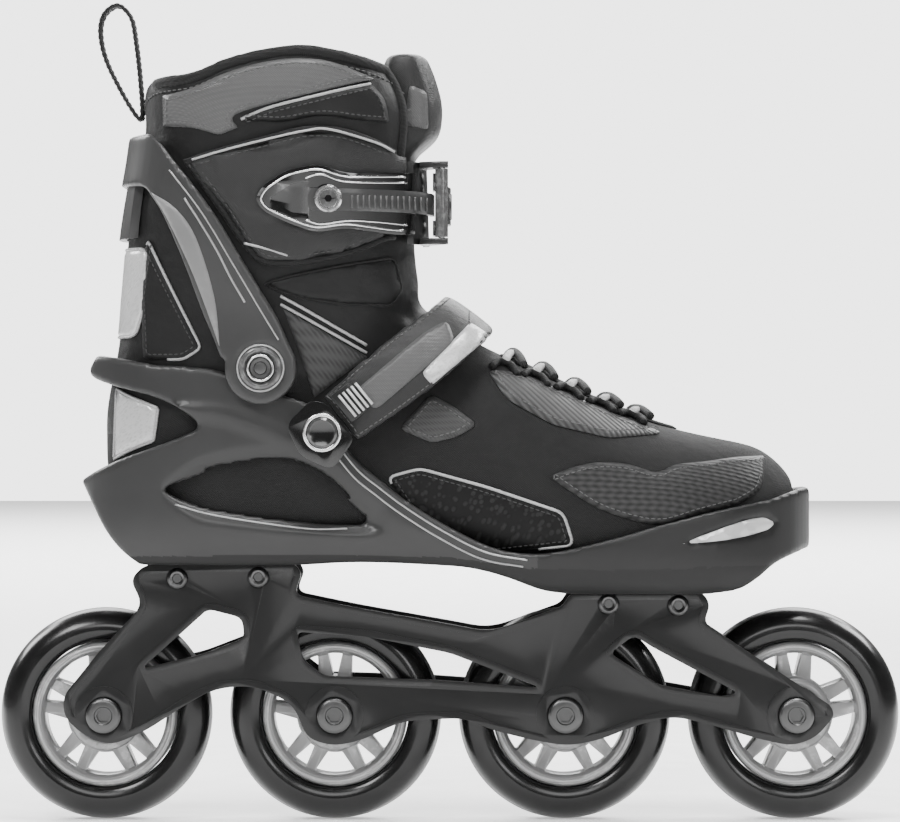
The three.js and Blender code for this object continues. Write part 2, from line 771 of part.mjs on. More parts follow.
const makeInsole = () => {
  const level = 16 + LINER_WALL;
  const room = footSolid(-LINER_WALL - GAP);
  const bed = prism([
    [-FAR, level],
    [-34, level + 1],
    [30, level - 6],
    [60, level - 10.5],
    [FAR, level - 10.5],
    [FAR, level - 10.5 + INSOLE_THICKNESS],
    [60, level - 10.5 + INSOLE_THICKNESS],
    [30, level - 6 + INSOLE_THICKNESS],
    [-34, level + 1 + INSOLE_THICKNESS],
    [-FAR, level + INSOLE_THICKNESS],
  ]);
  return largestBody(room.intersect(bed));
};

const SLOT_FLOOR = 136;
const tongueSlot = (half, floor) =>
  prism(
    [
      [-55, floor],
      [20, floor],
      [20, FAR],
      [-55, FAR],
    ],
    0,
    -half,
    half,
  );

const holeThroughOuterSide = (x, z, radius) => solidOf(cylinderY(x, z, radius, -FAR, 0, 10));
const LADDER_SCREW = { x: -47, z: 153.5, radius: 2.4, headRadius: 5.3 };

const makeAnkleShaft = () => {
  const wall = legSolid(0).intersect(legSide()).intersect(belowCollarRim()).subtract(legRoom());
  const slot = tongueSlot(TONGUE_HALF_WIDTH + GAP, SLOT_FLOOR - GAP);
  return largestBody(wall.subtract(slot));
};

const makeTongue = () => {
  const outline = [
    [-24.5, 211],
    [-9.5, 213],
    [-5, 200.5],
    [-2.5, 181.5],
    [-3.5, 175],
    [-11, 172],
    [-15.5, 170.5],
    [-15.5, SLOT_FLOOR],
    [-21, SLOT_FLOOR],
    [-21, 170],
    [-26, 190],
  ];
  const plate = prism(outline, 1.5, -TONGUE_HALF_WIDTH, TONGUE_HALF_WIDTH);
  return largestBody(plate.intersect(legSolid(12)));
};

boot.add(
  pieceOf("soft_boot", makeSoftBoot(), MATERIALS.fabric),
  pieceOf("insole", makeInsole(), MATERIALS.padding),
  pieceOf("ankle_shaft", makeAnkleShaft(), MATERIALS.fabric),
  pieceOf("tongue", makeTongue(), MATERIALS.fabric),
);

// ---- Cuff ----

// Height, back, front and half width of the room that the rigid cuff leaves for the leg.
const CUFF_INSIDE_Y = ANKLE_HALF_WIDTH + SHELL_WALL + 1.7;
const CUFF = [
  [60, -134, -18, CUFF_INSIDE_Y],
  [PIVOT_Z + 16, -134, -12, CUFF_INSIDE_Y],
  [140, -130, -6, COLLAR_HALF_WIDTH - 0.8],
  [171, -124.5, -4, COLLAR_HALF_WIDTH + 1.6],
  [190, -122, -4, COLLAR_HALF_WIDTH + 2.2],
];

const cuffSolid = (extra) =>
  solidOf(
    loft(
      CUFF.map(([z, back, front, half]) =>
        turns(LEG_SEGMENTS).map((angle) => {
          const [u, v] = superellipse(angle, LEG_POWER);
          return [(back + front) / 2 + ((front - back) / 2 + extra) * u, (half + extra) * v, z];
        }),
      ),
    ),
  );

const cuffOutline = () => [
  [-89, 92],
  [-96.5, 110.5],
  [-111.5, 147.5],
  [-119, 159],
  [-140, 161],
  [-140, 178.5],
  [-117.5, 180],
  [-107, 168.5],
  [-91, 147.5],
  [-78, 126],
  [-67, 107.5],
  [-60, 92],
];

const makeCuff = () => {
  const arms = cuffSolid(CUFF_WALL).intersect(prism(cuffOutline(), 4));
  const lobe = (side) => {
    const [near, far] = [CUFF_INSIDE_Y, CUFF_INSIDE_Y + CUFF_WALL];
    const [low, high] = side < 0 ? [-far, -near] : [near, far];
    return pivotCylinder(PIVOT_LOBE_R, low, high, 24);
  };
  const solid = arms.subtract(cuffSolid(0)).add(lobe(-1)).add(lobe(1));
  return largestBody(solid.subtract(pivotCylinder(PIVOT_BOLT_R - 1.9, -FAR, FAR)));
};

// Turned about its own axis, its head at the far end.
const makePivotBolt = (side) => {
  const start = ANKLE_HALF_WIDTH + 1.8;
  const seat = CUFF_INSIDE_Y + CUFF_WALL + GAP;
  const shank = PIVOT_BOLT_R - 2.3;
  const profile = [
    [0, side * start],
    [shank, side * start],
    [shank, side * seat],
    [PIVOT_BOLT_R, side * seat],
    [PIVOT_BOLT_R, side * (seat + 1.2)],
    [PIVOT_BOLT_R - 1.6, side * (seat + 1.8)],
    [0, side * (seat + 1.8)],
  ];
  return turned(profile, 16).translate(PIVOT_X, 0, PIVOT_Z);
};

const rearTab = () => {
  const outline = [
    [-140, 157.8],
    [-119, 157.8],
    [-113.5, 149],
    [-110.5, 140],
    [-140, 138.5],
  ];
  const layer = legSolid(3.2).subtract(legSolid(GAP + 0.1));
  return largestBody(layer.intersect(prism(outline, 2, -24, 24)));
};

boot.add(
  pieceOf("cuff", makeCuff(), MATERIALS.cuff),
  meshOf("cuff_pivot_outer", makePivotBolt(-1), MATERIALS.steel),
  meshOf("cuff_pivot_inner", makePivotBolt(1), MATERIALS.steel),
  pieceOf("rear_tab", rearTab(), MATERIALS.cuff),
);

// ---- Wrap flaps and top buckle ----

const flapOutline = () => [
  [-105.3, 169],
  [-88, 174],
  [-70.5, 178.5],
  [-49, 182.5],
  [-29, 177.5],
  [0, 167],
  [0, 137.5],
  [-22.5, 138.5],
  [-43, 130],
  [-68.5, 127],
  [-77, 129],
  [-89.3, 148],
];

const layerOnLeg = (inner, outer, region) => legSolid(outer).subtract(legSolid(inner)).intersect(region);
const FLAP_INNER = GAP + 0.1;
const FLAP_OUTER = FLAP_INNER + FLAP_THICKNESS;
const BUCKLE_INNER = FLAP_OUTER + GAP;
const BUCKLE_OUTER = BUCKLE_INNER + 2;
const LADDER_INNER = BUCKLE_OUTER + GAP;
const LADDER_OUTER = LADDER_INNER + LADDER_THICKNESS;
const ladderScrewHole = () => holeThroughOuterSide(LADDER_SCREW.x, LADDER_SCREW.z, LADDER_SCREW.radius + GAP);

const makeFlap = (side) => {
  const edge = TONGUE_HALF_WIDTH + 3;
  const [low, high] = side < 0 ? [-FAR, -edge] : [edge, FAR];
  const flap = layerOnLeg(FLAP_INNER, FLAP_OUTER, prism(flapOutline(), 3, low, high));
  return largestBody(side < 0 ? flap.subtract(ladderScrewHole()) : flap);
};

const BUCKLE_TURN_Y = -25; // where the bezel ends and the buckle's frame begins
const bezelOutline = () => [
  [-75.5, 153.5],
  [-63.5, 164.5],
  [-51, 167],
  [-40.5, 163.5],
  [0, 165],
  [0, 142],
  [-21, 140],
  [-40.5, 143],
  [-52, 140.5],
  [-63.5, 144.5],
];

const makeBezel = () => {
  const plate = layerOnLeg(BUCKLE_INNER, BUCKLE_OUTER, prism(bezelOutline(), 4, -FAR, BUCKLE_TURN_Y - GAP));
  return largestBody(plate.subtract(ladderScrewHole()));
};

const LADDER_Z = 152.5;
const LADDER_END_Y = -2;
const makeLadderStrap = () => {
  const half = LADDER_WIDTH / 2;
  const outline = [
    [-55, LADDER_Z + 1 - half],
    [20, LADDER_Z - half],
    [20, LADDER_Z + half],
    [-55, LADDER_Z + 1 + half],
  ];
  const strap = layerOnLeg(LADDER_INNER, LADDER_OUTER, prism(outline, 2, -FAR, LADDER_END_Y));
  return largestBody(strap.subtract(ladderScrewHole()));
};

const makeLadderScrew = () => {
  const { radius, headRadius } = LADDER_SCREW;
  const seat = -COLLAR_HALF_WIDTH - 6.4;
  const profile = [
    [0, -COLLAR_HALF_WIDTH + 0.6],
    [radius, -COLLAR_HALF_WIDTH + 0.6],
    [radius, seat],
    [headRadius, seat],
    [headRadius - 1, seat - 1.6],
    [0, seat - 1.6],
  ];
  return turned(profile, 14).translate(LADDER_SCREW.x, 0, LADDER_SCREW.z);
};

const LEVER = { lowZ: 139.5, highZ: 166.5, backX: -4.4, thickness: 2.2, freeY: 2 };
const PIN_R = 1.3;
const KNUCKLE_R = 2.6;
const EAR_THICKNESS = 2.4;
const PIN = [LEVER.backX + LEVER.thickness / 2, BUCKLE_TURN_Y - 1];

const uprightPin = (radius, low, high, segments = 12) => {
  const cylinder = new THREE.CylinderGeometry(radius, radius, high - low, segments).rotateX(Math.PI / 2);
  return solidOf(cylinder.translate(PIN[0], PIN[1], (low + high) / 2));
};

const makeBuckleFrame = () => {
  const earLow = LEVER.lowZ - GAP - EAR_THICKNESS;
  const earHigh = LEVER.highZ + GAP + EAR_THICKNESS;
  const region = prism(
    [
      [-30, earLow],
      [20, earLow],
      [20, earHigh],
      [-30, earHigh],
    ],
    0,
    BUCKLE_TURN_Y,
    6,
  );
  const base = layerOnLeg(BUCKLE_INNER, BUCKLE_OUTER, region);
  const ear = (low, high) => {
    const shape = roundedShape([
      [-12, BUCKLE_TURN_Y + 1],
      [PIN[0] - 1, PIN[1] - KNUCKLE_R],
      [PIN[0] + KNUCKLE_R, PIN[1] - KNUCKLE_R],
      [PIN[0] + KNUCKLE_R, PIN[1] + KNUCKLE_R],
      [-9, -8],
      [-12, -8],
    ]);
    return solidOf(alongZ(shape, low, high)).subtract(legSolid(BUCKLE_INNER));
  };
  const ears = ear(earLow, LEVER.lowZ - GAP).add(ear(LEVER.highZ + GAP, earHigh));
  return largestBody(base.add(ears).subtract(uprightPin(PIN_R + GAP, 0, FAR)));
};

const makeBuckleLever = () => {
  const { lowZ, highZ, backX, thickness, freeY } = LEVER;
  const plate = roundedShape([
    [backX, PIN[1]],
    [backX + thickness, PIN[1]],
    [backX + thickness, freeY],
    [backX, freeY],
  ]);
  const knuckle = uprightPin(KNUCKLE_R, lowZ, highZ);
  return toGeometry(solidOf(alongZ(plate, lowZ, highZ)).add(knuckle).subtract(uprightPin(PIN_R + GAP, 0, FAR)));
};

const makeReleaseTab = () => {
  const front = LEVER.backX + LEVER.thickness + GAP;
  const shape = roundedShape([
    [front, -13],
    [front + 1.4, -13],
    [front + 2.4, -2],
    [front + 2, 3.5],
    [front, 3.5],
  ]);
  return alongZ(shape, LADDER_Z - 7.5, LADDER_Z + 7.5);
};

boot.add(
  pieceOf("cuff_flap_outer", makeFlap(-1), MATERIALS.padding),
  pieceOf("cuff_flap_inner", makeFlap(1), MATERIALS.padding),
  pieceOf("buckle_bezel", makeBezel(), MATERIALS.gloss),
  pieceOf("ladder_strap", makeLadderStrap(), MATERIALS.cuff),
  meshOf("ladder_screw", makeLadderScrew(), MATERIALS.steel),
  pieceOf("buckle_frame", makeBuckleFrame(), MATERIALS.frame),
  meshOf("buckle_lever", makeBuckleLever(), MATERIALS.frame),
  pieceOf("lever_pin", uprightPin(PIN_R, LEVER.lowZ - EAR_THICKNESS, LEVER.highZ + EAR_THICKNESS), MATERIALS.steel),
  meshOf("release_tab", makeReleaseTab(), MATERIALS.gloss),
);

// ---- Instep strap ----

// The room under the strap, which crosses the instep above the front of the leg.
const STRAP_INSIDE_Y = CUFF_INSIDE_Y + 0.5;
const STRAP_ROOM = [
  [-80, STRAP_INSIDE_Y, 10, 118],
  [-30, STRAP_INSIDE_Y, 10, 118],
  [-10, STRAP_INSIDE_Y + 0.8, 10, 116],
  [0, STRAP_INSIDE_Y + 1.6, 10, 113],
  [10, STRAP_INSIDE_Y + 2.6, 10, 106.5],
  [24, STRAP_INSIDE_Y + 4, 10, 95],
];

const strapSolid = (extra) => solidOf(crossLoft(STRAP_ROOM, extra, 4, 3));

const strapOutline = () => [
  [-42, 85],
  [-7, 113.5],
  [2, 122],
  [22, 106],
  [-3.5, 81.5],
  [-28, 64],
  [-35, 59],
  [-50, 77],
];

const CLIP_THICKNESS = 3.4;
const STRAP_OUTSIDE_Y = STRAP_INSIDE_Y + STRAP_THICKNESS;
const BUTTON = { x: -49.5, z: 63, radius: 6, travel: 1.5 };

const makeInstepStrap = () =>
  largestBody(strapSolid(STRAP_THICKNESS).subtract(strapSolid(0)).intersect(prism(strapOutline(), 3)));

const clipOutline = () => [
  [-63.5, 66],
  [-54, 75.5],
  [-48, 74.5],
  [-36.5, 61],
  [-45.5, 48.5],
  [-58, 54],
];

const makeInstepClip = () => {
  const near = STRAP_OUTSIDE_Y + GAP + 0.3;
  const plate = prism(clipOutline(), 3, -near - CLIP_THICKNESS, -near);
  const foot = prism(
    [
      [-58, 56],
      [-54, 60],
      [-46, 52],
      [-49, 49.5],
    ],
    0,
    -near - 0.5,
    -SHELL_SIDE_Y - GAP,
  );
  return plate.add(foot.subtract(shellSolid(GAP))).subtract(buttonRoom());
};
const SHELL_SIDE_Y = ANKLE_HALF_WIDTH + SHELL_WALL + 0.4;
const buttonRoom = () => solidOf(cylinderY(BUTTON.x, BUTTON.z, BUTTON.radius + GAP + 0.1, -FAR, -STRAP_OUTSIDE_Y, 16));

const makeInstepButton = () => {
  const base = STRAP_OUTSIDE_Y + GAP + BUTTON.travel + 0.2;
  return cylinderY(BUTTON.x, BUTTON.z, BUTTON.radius, -base - CLIP_THICKNESS, -base, 16);
};

const makeInstepLadder = () => {
  const near = STRAP_OUTSIDE_Y + GAP;
  const outline = [
    [-46.5, 77.2],
    [-38, 66.8],
    [-32, 72],
    [-39, 82.5],
  ];
  return alongY(roundedShape(outline, 1), -near - 1.8, -near);
};

// ---- Laces and pull loop ----

const TAU = 2 * Math.PI;
const footTopAt = (x, y) => {
  const [, half, bottom, top] = rowAt(FOOT, x);
  const widest = bottom + 0.38 * (top - bottom);
  const share = Math.min(1, Math.abs(y) / half);
  return widest + (top - widest) * (1 - share ** FOOT_POWERS[1]) ** (1 / FOOT_POWERS[1]);
};

class LaceLine extends THREE.Curve {
  getPoint(share) {
    const x = LACES.start + share * (LACES.end - LACES.start);
    const y = LACES.halfWidth * Math.cos(TAU * LACES.crossings * share);
    return new THREE.Vector3(x, y, footTopAt(x, y) + LACE_R + 0.9);
  }
}
const LACES = { start: 28, end: 76, crossings: 2.5, halfWidth: 17 };

const polygonShape = (radius, sides) =>
  new THREE.Shape(vectors(turns(sides).map((angle) => [radius * Math.cos(angle), radius * Math.sin(angle)])));

const makeLaces = () =>
  new THREE.ExtrudeGeometry(polygonShape(LACE_R, 6), { steps: 30, extrudePath: new LaceLine(), curveSegments: 1 });

const loopLine = () =>
  new THREE.CatmullRomCurve3(
    [
      [-122.6, 188],
      [-123, 201],
      [-125, 219],
      [-127, 228],
      [-132, 232.6],
      [-137.5, 229],
      [-139, 221],
      [-136, 209],
      [-127, 192],
    ].map(([x, z]) => new THREE.Vector3(x, 0, z)),
    true,
  );

const makePullLoop = () => {
  const line = loopLine();
  const sides = [-1, 1].map((side) =>
    turns(20).map((turn) => {
      const tangent = line.getTangentAt(turn / TAU);
      const point = line.getPointAt(turn / TAU);
      const reach = (side * LOOP_THICKNESS) / 2;
      return new THREE.Vector2(point.x - reach * tangent.z, point.z + reach * tangent.x);
    }),
  );
  const [outer, inner] = Math.abs(THREE.ShapeUtils.area(sides[0])) > Math.abs(THREE.ShapeUtils.area(sides[1])) ? sides : sides.reverse();
  const shape = new THREE.Shape(outer);
  shape.holes.push(new THREE.Path(inner));
  return alongY(shape, -LOOP_WIDTH / 2, LOOP_WIDTH / 2);
};

boot.add(
  pieceOf("instep_strap", makeInstepStrap(), MATERIALS.padding),
  pieceOf("instep_clip", makeInstepClip(), MATERIALS.frame),
  meshOf("instep_button", makeInstepButton(), MATERIALS.gloss),
  meshOf("instep_ladder", makeInstepLadder(), MATERIALS.reflector),
  meshOf("laces", makeLaces(), MATERIALS.lace),
  meshOf("pull_loop", makePullLoop(), MATERIALS.webbing),
);

export default skate;
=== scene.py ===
"""A right-foot inline skate: wheels in a plate frame, a moulded shell, a padded boot, a hinged cuff and its buckles.

Outlines are drawn in millimetres, seen from the outer side: X runs to the toe and Z up. Heights of everything above
the wheels are measured from the front of the sole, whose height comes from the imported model.
"""

from __future__ import annotations

import json
import logging
import math
from contextlib import contextmanager
from dataclasses import dataclass, field
from enum import Enum
from typing import Any, Callable, Iterable, Iterator, Sequence

import bmesh
import bpy
import numpy as np
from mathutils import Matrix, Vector
from mathutils.bvhtree import BVHTree
from mathutils.geometry import delaunay_2d_cdt


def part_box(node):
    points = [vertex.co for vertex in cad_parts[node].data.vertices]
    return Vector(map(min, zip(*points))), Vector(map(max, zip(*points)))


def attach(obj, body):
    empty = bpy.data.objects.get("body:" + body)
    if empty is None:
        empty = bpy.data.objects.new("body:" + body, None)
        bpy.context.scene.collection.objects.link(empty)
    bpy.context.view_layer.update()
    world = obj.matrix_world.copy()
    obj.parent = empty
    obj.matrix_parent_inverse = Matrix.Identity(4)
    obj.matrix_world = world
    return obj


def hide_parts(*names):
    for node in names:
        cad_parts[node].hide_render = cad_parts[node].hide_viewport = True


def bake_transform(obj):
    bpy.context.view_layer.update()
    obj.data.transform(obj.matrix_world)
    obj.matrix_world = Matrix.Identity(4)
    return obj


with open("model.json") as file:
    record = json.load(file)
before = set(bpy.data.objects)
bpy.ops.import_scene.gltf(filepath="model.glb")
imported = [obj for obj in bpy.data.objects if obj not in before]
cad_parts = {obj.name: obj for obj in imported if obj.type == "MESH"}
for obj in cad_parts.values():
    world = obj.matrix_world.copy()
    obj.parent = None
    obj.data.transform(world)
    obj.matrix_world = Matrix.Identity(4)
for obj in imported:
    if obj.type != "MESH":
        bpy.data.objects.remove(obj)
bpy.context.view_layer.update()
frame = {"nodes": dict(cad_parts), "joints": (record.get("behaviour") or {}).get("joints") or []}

LOG = logging.getLogger("skate")
MM = 0.001
Point = tuple[float, float]
Obj = bpy.types.Object


def joint_place(name: str) -> np.ndarray:
    """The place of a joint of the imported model, in millimetres."""
    return next(np.array(joint["pos_m"]) / MM for joint in frame["joints"] if joint["name"] == name)


def box_mm(node: str) -> np.ndarray:
    """The lowest and highest corners of a CAD node, in millimetres, one per row."""
    return np.array([list(corner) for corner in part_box(node)]) / MM


AXLES = [joint_place(f"wheel_{number}_spin") for number in range(1, 5)]
PIVOT = joint_place("cuff_lean")
SOLE_Z = float(box_mm("lower_shell")[0][2])
WHEEL_R = float(AXLES[0][2])
PLATE_OUTER_Y = -float(box_mm("frame_plate_outer")[0][1])
PLATE_THICKNESS = 3.0
ANKLE_HALF = 35.5
BALL_HALF = 45.5
COLLAR_HALF = 44.0
SHELL_WALL = 3.4
ANKLE_SHELL, BALL_SHELL = ANKLE_HALF + SHELL_WALL, BALL_HALF + SHELL_WALL
CUFF_INSIDE = ANKLE_SHELL + 1.7
STRAP_INSIDE = CUFF_INSIDE + 0.5
OUTER, INNER = -1, 1
SIDES = ((OUTER, "outer"), (INNER, "inner"))


# ---- Curves and tables ----


def smooth_rows(table: Sequence[Sequence[float]], positions: Sequence[float]) -> np.ndarray:
    """Rows of a table at new positions, on a smooth curve that never overshoots.

    Args:
        table: rows that start with their position, in rising order.
        positions: where rows are wanted.

    Returns:
        One row per position, the position first.
    """
    rows = np.array(table, float)
    x, y = rows[:, 0], rows[:, 1:]
    step = np.diff(x)[:, None]
    slope = np.diff(y, axis=0) / step
    tangent = np.zeros_like(y)
    same = slope[:-1] * slope[1:] > 0
    tangent[1:-1] = np.where(same, 2 * slope[:-1] * slope[1:] / np.where(same, slope[:-1] + slope[1:], 1), 0)
    tangent[0], tangent[-1] = slope[0], slope[-1]
    at = np.array(positions, float)
    i = np.clip(np.searchsorted(x, at, side="right") - 1, 0, len(x) - 2)
    h = step[i]
    t = ((at - x[i])[:, None]) / h
    values = (
        (2 * t**3 - 3 * t**2 + 1) * y[i]
        + (t**3 - 2 * t**2 + t) * h * tangent[i]
        + (-2 * t**3 + 3 * t**2) * y[i + 1]
        + (t**3 - t**2) * h * tangent[i + 1]
    )
    return np.column_stack([at, values])


def through(points: Sequence[Sequence[float]], closed: bool = False, steps: int = 8) -> np.ndarray:
    """A Catmull-Rom curve through the points.

    Args:
        points: places of any dimension.
        closed: whether the last joins the first.
        steps: points made between neighbours.

    Returns:
        The curve's points, one per row.
    """
    p = np.array(points, float)
    count = len(p)
    spans = count if closed else count - 1
    out = []
    for i in range(spans):
        if closed:
            a, b, c, d = (p[(i + k) % count] for k in (-1, 0, 1, 2))
        else:
            b, c = p[i], p[i + 1]
            a = p[i - 1] if i else 2 * b - c
            d = p[i + 2] if i + 2 < count else 2 * c - b
        for k in range(steps):
            t = k / steps
            out.append(
                0.5 * (2 * b + (c - a) * t + (2 * a - 5 * b + 4 * c - d) * t * t + (3 * b - a - 3 * c + d) * t**3)
            )
    if not closed:
        out.append(p[-1])
    return np.array(out)


def strokes(*parts: Sequence[Point], steps: int = 8) -> np.ndarray:
    """A closed outline of smooth strokes that meet at corners, each stroke starting where the last one ended."""
    return np.vstack([through(part, steps=steps)[:-1] for part in parts])


def rounded(points: Sequence[Point], radius: float, steps: int = 4) -> np.ndarray:
    """A closed outline with each corner rounded by up to the radius."""
    p = np.array(points, float)
    out = []
    for i, corner in enumerate(p):
        before, after = p[i - 1], p[(i + 1) % len(p)]
        reach = min(radius, 0.45 * np.linalg.norm(before - corner), 0.45 * np.linalg.norm(after - corner))
        enter = corner + (before - corner) / np.linalg.norm(before - corner) * reach
        leave = corner + (after - corner) / np.linalg.norm(after - corner) * reach
        for k in range(steps + 1):
            t = k / steps
            out.append((1 - t) ** 2 * enter + 2 * t * (1 - t) * corner + t**2 * leave)
    return np.array(out)


def span(side: int, near: float, far: float) -> tuple[float, float]:
    """Two distances from the middle on one side, as rising values of Y."""
    return min(side * near, side * far), max(side * near, side * far)


def arc(centre: Point, radius: float, start: float, end: float, steps: int = 24) -> np.ndarray:
    """Points on a circle between two angles in degrees."""
    angles = np.radians(np.linspace(start, end, steps + 1))
    return np.column_stack([centre[0] + radius * np.cos(angles), centre[1] + radius * np.sin(angles)])


def circle(centre: Point, radius: float, steps: int = 32) -> np.ndarray:
    """A closed circle."""
    return arc(centre, radius, 0, 360, steps)[:-1]


def inset(outline: np.ndarray, distance: float) -> np.ndarray:
    """A closed outline moved inwards by a distance, corner by corner."""
    ahead = np.roll(outline, -1, axis=0) - outline
    behind = outline - np.roll(outline, 1, axis=0)
    along = ahead / (np.linalg.norm(ahead, axis=1)[:, None] + 1e-9) + behind / (
        np.linalg.norm(behind, axis=1)[:, None] + 1e-9
    )
    along /= np.linalg.norm(along, axis=1)[:, None] + 1e-9
    x, z = outline.T
    turn = np.sign(np.sum(x * np.roll(z, -1) - np.roll(x, -1) * z))
    return outline + distance * turn * np.column_stack([-along[:, 1], along[:, 0]])


def resample(line: np.ndarray, spacing: float, closed: bool = False) -> np.ndarray:
    """A polyline's points at an even spacing."""
    points = np.vstack([line, line[:1]]) if closed else line
    lengths = np.linalg.norm(np.diff(points, axis=0), axis=1)
    travelled = np.concatenate([[0], np.cumsum(lengths)])
    count = max(2, round(travelled[-1] / spacing))
    at = np.linspace(0, travelled[-1], count + 1)
    if closed:
        at = at[:-1]
    return np.column_stack([np.interp(at, travelled, points[:, k]) for k in range(points.shape[1])])


# ---- Meshes ----


def add_object(name: str, data: Any) -> Obj:
    """A new object in the scene."""
    made = bpy.data.objects.new(name, data)
    bpy.context.scene.collection.objects.link(made)
    return made


def smoothed(piece: Obj) -> Obj:
    """Shades every face smooth."""
    piece.data.polygons.foreach_set("use_smooth", [True] * len(piece.data.polygons))
    return piece


def read_points(piece: Obj) -> np.ndarray:
    """A piece's points in metres, one per row."""
    flat = np.zeros(len(piece.data.vertices) * 3)
    piece.data.vertices.foreach_get("co", flat)
    return flat.reshape(-1, 3)


def make_object(name: str, verts: Sequence[Sequence[float]], faces: Sequence[Sequence[int]], smooth: bool = True) -> Obj:
    """A mesh object from points in millimetres, with its normals turned outwards."""
    mesh = bpy.data.meshes.new(name)
    mesh.from_pydata((np.asarray(verts, float) * MM).tolist(), [], [list(face) for face in faces])
    piece = add_object(name, mesh)
    tidy(piece)
    mesh.polygons.foreach_set("use_smooth", [smooth] * len(mesh.polygons))
    return piece


@contextmanager
def edited(piece: Obj) -> Iterator[bmesh.types.BMesh]:
    """A piece's mesh, open for editing and written back at the end."""
    work = bmesh.new()
    work.from_mesh(piece.data)
    yield work
    work.to_mesh(piece.data)
    work.free()


def tidy(piece: Obj, merge: float = 1e-6) -> Obj:
    """Merges doubled points and turns every face outwards."""
    with edited(piece) as work:
        bmesh.ops.remove_doubles(work, verts=work.verts, dist=merge)
        bmesh.ops.recalc_face_normals(work, faces=work.faces)
    return piece


def bake(piece: Obj) -> Obj:
    """Applies a piece's modifiers."""
    graph = bpy.context.evaluated_depsgraph_get()
    graph.update()
    mesh = bpy.data.meshes.new_from_object(piece.evaluated_get(graph), depsgraph=graph)
    old = piece.data
    piece.modifiers.clear()
    piece.data = mesh
    bpy.data.meshes.remove(old)
    return piece


def modify(piece: Obj, kind: str, **settings: Any) -> Obj:
    """Adds one modifier with its settings and applies it."""
    modifier = piece.modifiers.new(kind.lower(), kind)
    for key, value in settings.items():
        setattr(modifier, key, value)
    return bake(piece)


def discard(*pieces: Obj) -> None:
    """Removes helper objects."""
    for piece in pieces:
        bpy.data.objects.remove(piece, do_unlink=True)


def cut(piece: Obj, *others: Obj, operation: str = "DIFFERENCE") -> Obj:
    """Joins or cuts a piece with others, which are used up."""
    for other in others:
        modify(piece, "BOOLEAN", object=other, operation=operation, solver="EXACT")
        discard(other)
    return piece


def copy_of(piece: Obj, name: str) -> Obj:
    """A full copy of an object and its mesh."""
    twin = piece.copy()
    twin.data = piece.data.copy()
    twin.name = name
    bpy.context.scene.collection.objects.link(twin)
    return twin


def join(name: str, pieces: Sequence[Obj]) -> Obj:
    """One object from several, keeping each face's material."""
    work = bmesh.new()
    materials: list[bpy.types.Material | None] = []
    for piece in pieces:
        start = len(work.faces)
        work.from_mesh(piece.data)
        work.faces.ensure_lookup_table()
        own = list(piece.data.materials) or [None]
        for face in work.faces[start:]:
            material = own[min(face.material_index, len(own) - 1)]
            if material not in materials:
                materials.append(material)
            face.material_index = materials.index(material)
    mesh = bpy.data.meshes.new(name)
    work.to_mesh(mesh)
    work.free()
    for material in materials:
        mesh.materials.append(material)
    discard(*pieces)
    piece = add_object(name, mesh)
    return piece


def loft(name: str, levels_of_points: Sequence[Any]) -> Obj:
    """A closed skin over rings of points, all with the same count."""
    rings = np.array(levels_of_points, float)
    levels, count, _ = rings.shape
    verts = [*rings.reshape(-1, 3), rings[0].mean(0), rings[-1].mean(0)]
    faces: list[list[int]] = []
    for level in range(levels - 1):
        for i in range(count):
            a, b = level * count + i, level * count + (i + 1) % count
            faces.append([a, b, b + count, a + count])
    top = (levels - 1) * count
    for i in range(count):
        j = (i + 1) % count
        faces.append([levels * count, j, i])
        faces.append([levels * count + 1, top + i, top + j])
    return make_object(name, verts, faces)


def prism(name: str, outline: np.ndarray, low: float, high: float, lift: float = 0.0) -> Obj:
    """A closed outline in X and Z, extruded between two values of Y."""
    count = len(outline)
    verts = [[x, y, z + lift] for y in (low, high) for x, z in outline]
    sides = [[i, (i + 1) % count, (i + 1) % count + count, i + count] for i in range(count)]
    caps = [list(range(count))[::-1], list(range(count, 2 * count))]
    return make_object(name, verts, sides + caps, smooth=False)


def revolve(
    name: str, profile: Sequence[Point], centre: Sequence[float], segments: int = 96, side: float = 1.0
) -> Obj:
    """A profile of [radius, y] turned round an axle along Y; it closes on itself or ends on the axis.

    Args:
        name: the new object's name.
        profile: radius and Y of each point.
        centre: a point on the axle.
        segments: how many steps make a turn.
        side: -1 mirrors the profile towards the outer side.

    Returns:
        The turned piece.
    """
    pairs = np.array(profile, float) * (1, side)
    count = len(pairs)
    verts, faces = [], []
    for s, a in enumerate(np.linspace(0, 2 * math.pi, segments, endpoint=False)):
        verts += [[centre[0] + r * math.cos(a), centre[1] + y, centre[2] + r * math.sin(a)] for r, y in pairs]
        here, following = s * count, (s + 1) % segments * count
        faces += [[here + i, here + i + 1, following + i + 1, following + i] for i in range(count - 1)]
    piece = make_object(name, verts, faces)
    with edited(piece) as work:
        bmesh.ops.dissolve_degenerate(work, edges=work.edges, dist=1e-6)
        bmesh.ops.recalc_face_normals(work, faces=work.faces)
    return piece


def drill(
    piece: Obj, centre: Sequence[float], radius: float, sides: int = 32, low: float = -90.0, high: float = 90.0
) -> Obj:
    """Cuts a round or many-sided hole along Y, its centre given in X and Z or as a point."""
    return cut(piece, prism("drill", circle((centre[0], centre[-1]), radius, sides), low, high))


def bevelled(piece: Obj, width: float, segments: int = 2, angle: float = 35) -> Obj:
    """Rounds a piece's sharp edges and shades it smooth with weighted normals."""
    modify(
        piece, "BEVEL", width=width * MM, segments=segments, limit_method="ANGLE", angle_limit=math.radians(angle),
        harden_normals=False,
    )
    return shaded(piece)


def shaded(piece: Obj, angle: float = 35) -> Obj:
    """Shades smooth, with edges sharper than the angle kept."""
    smoothed(piece).data.set_sharp_from_angle(angle=math.radians(angle))
    return piece


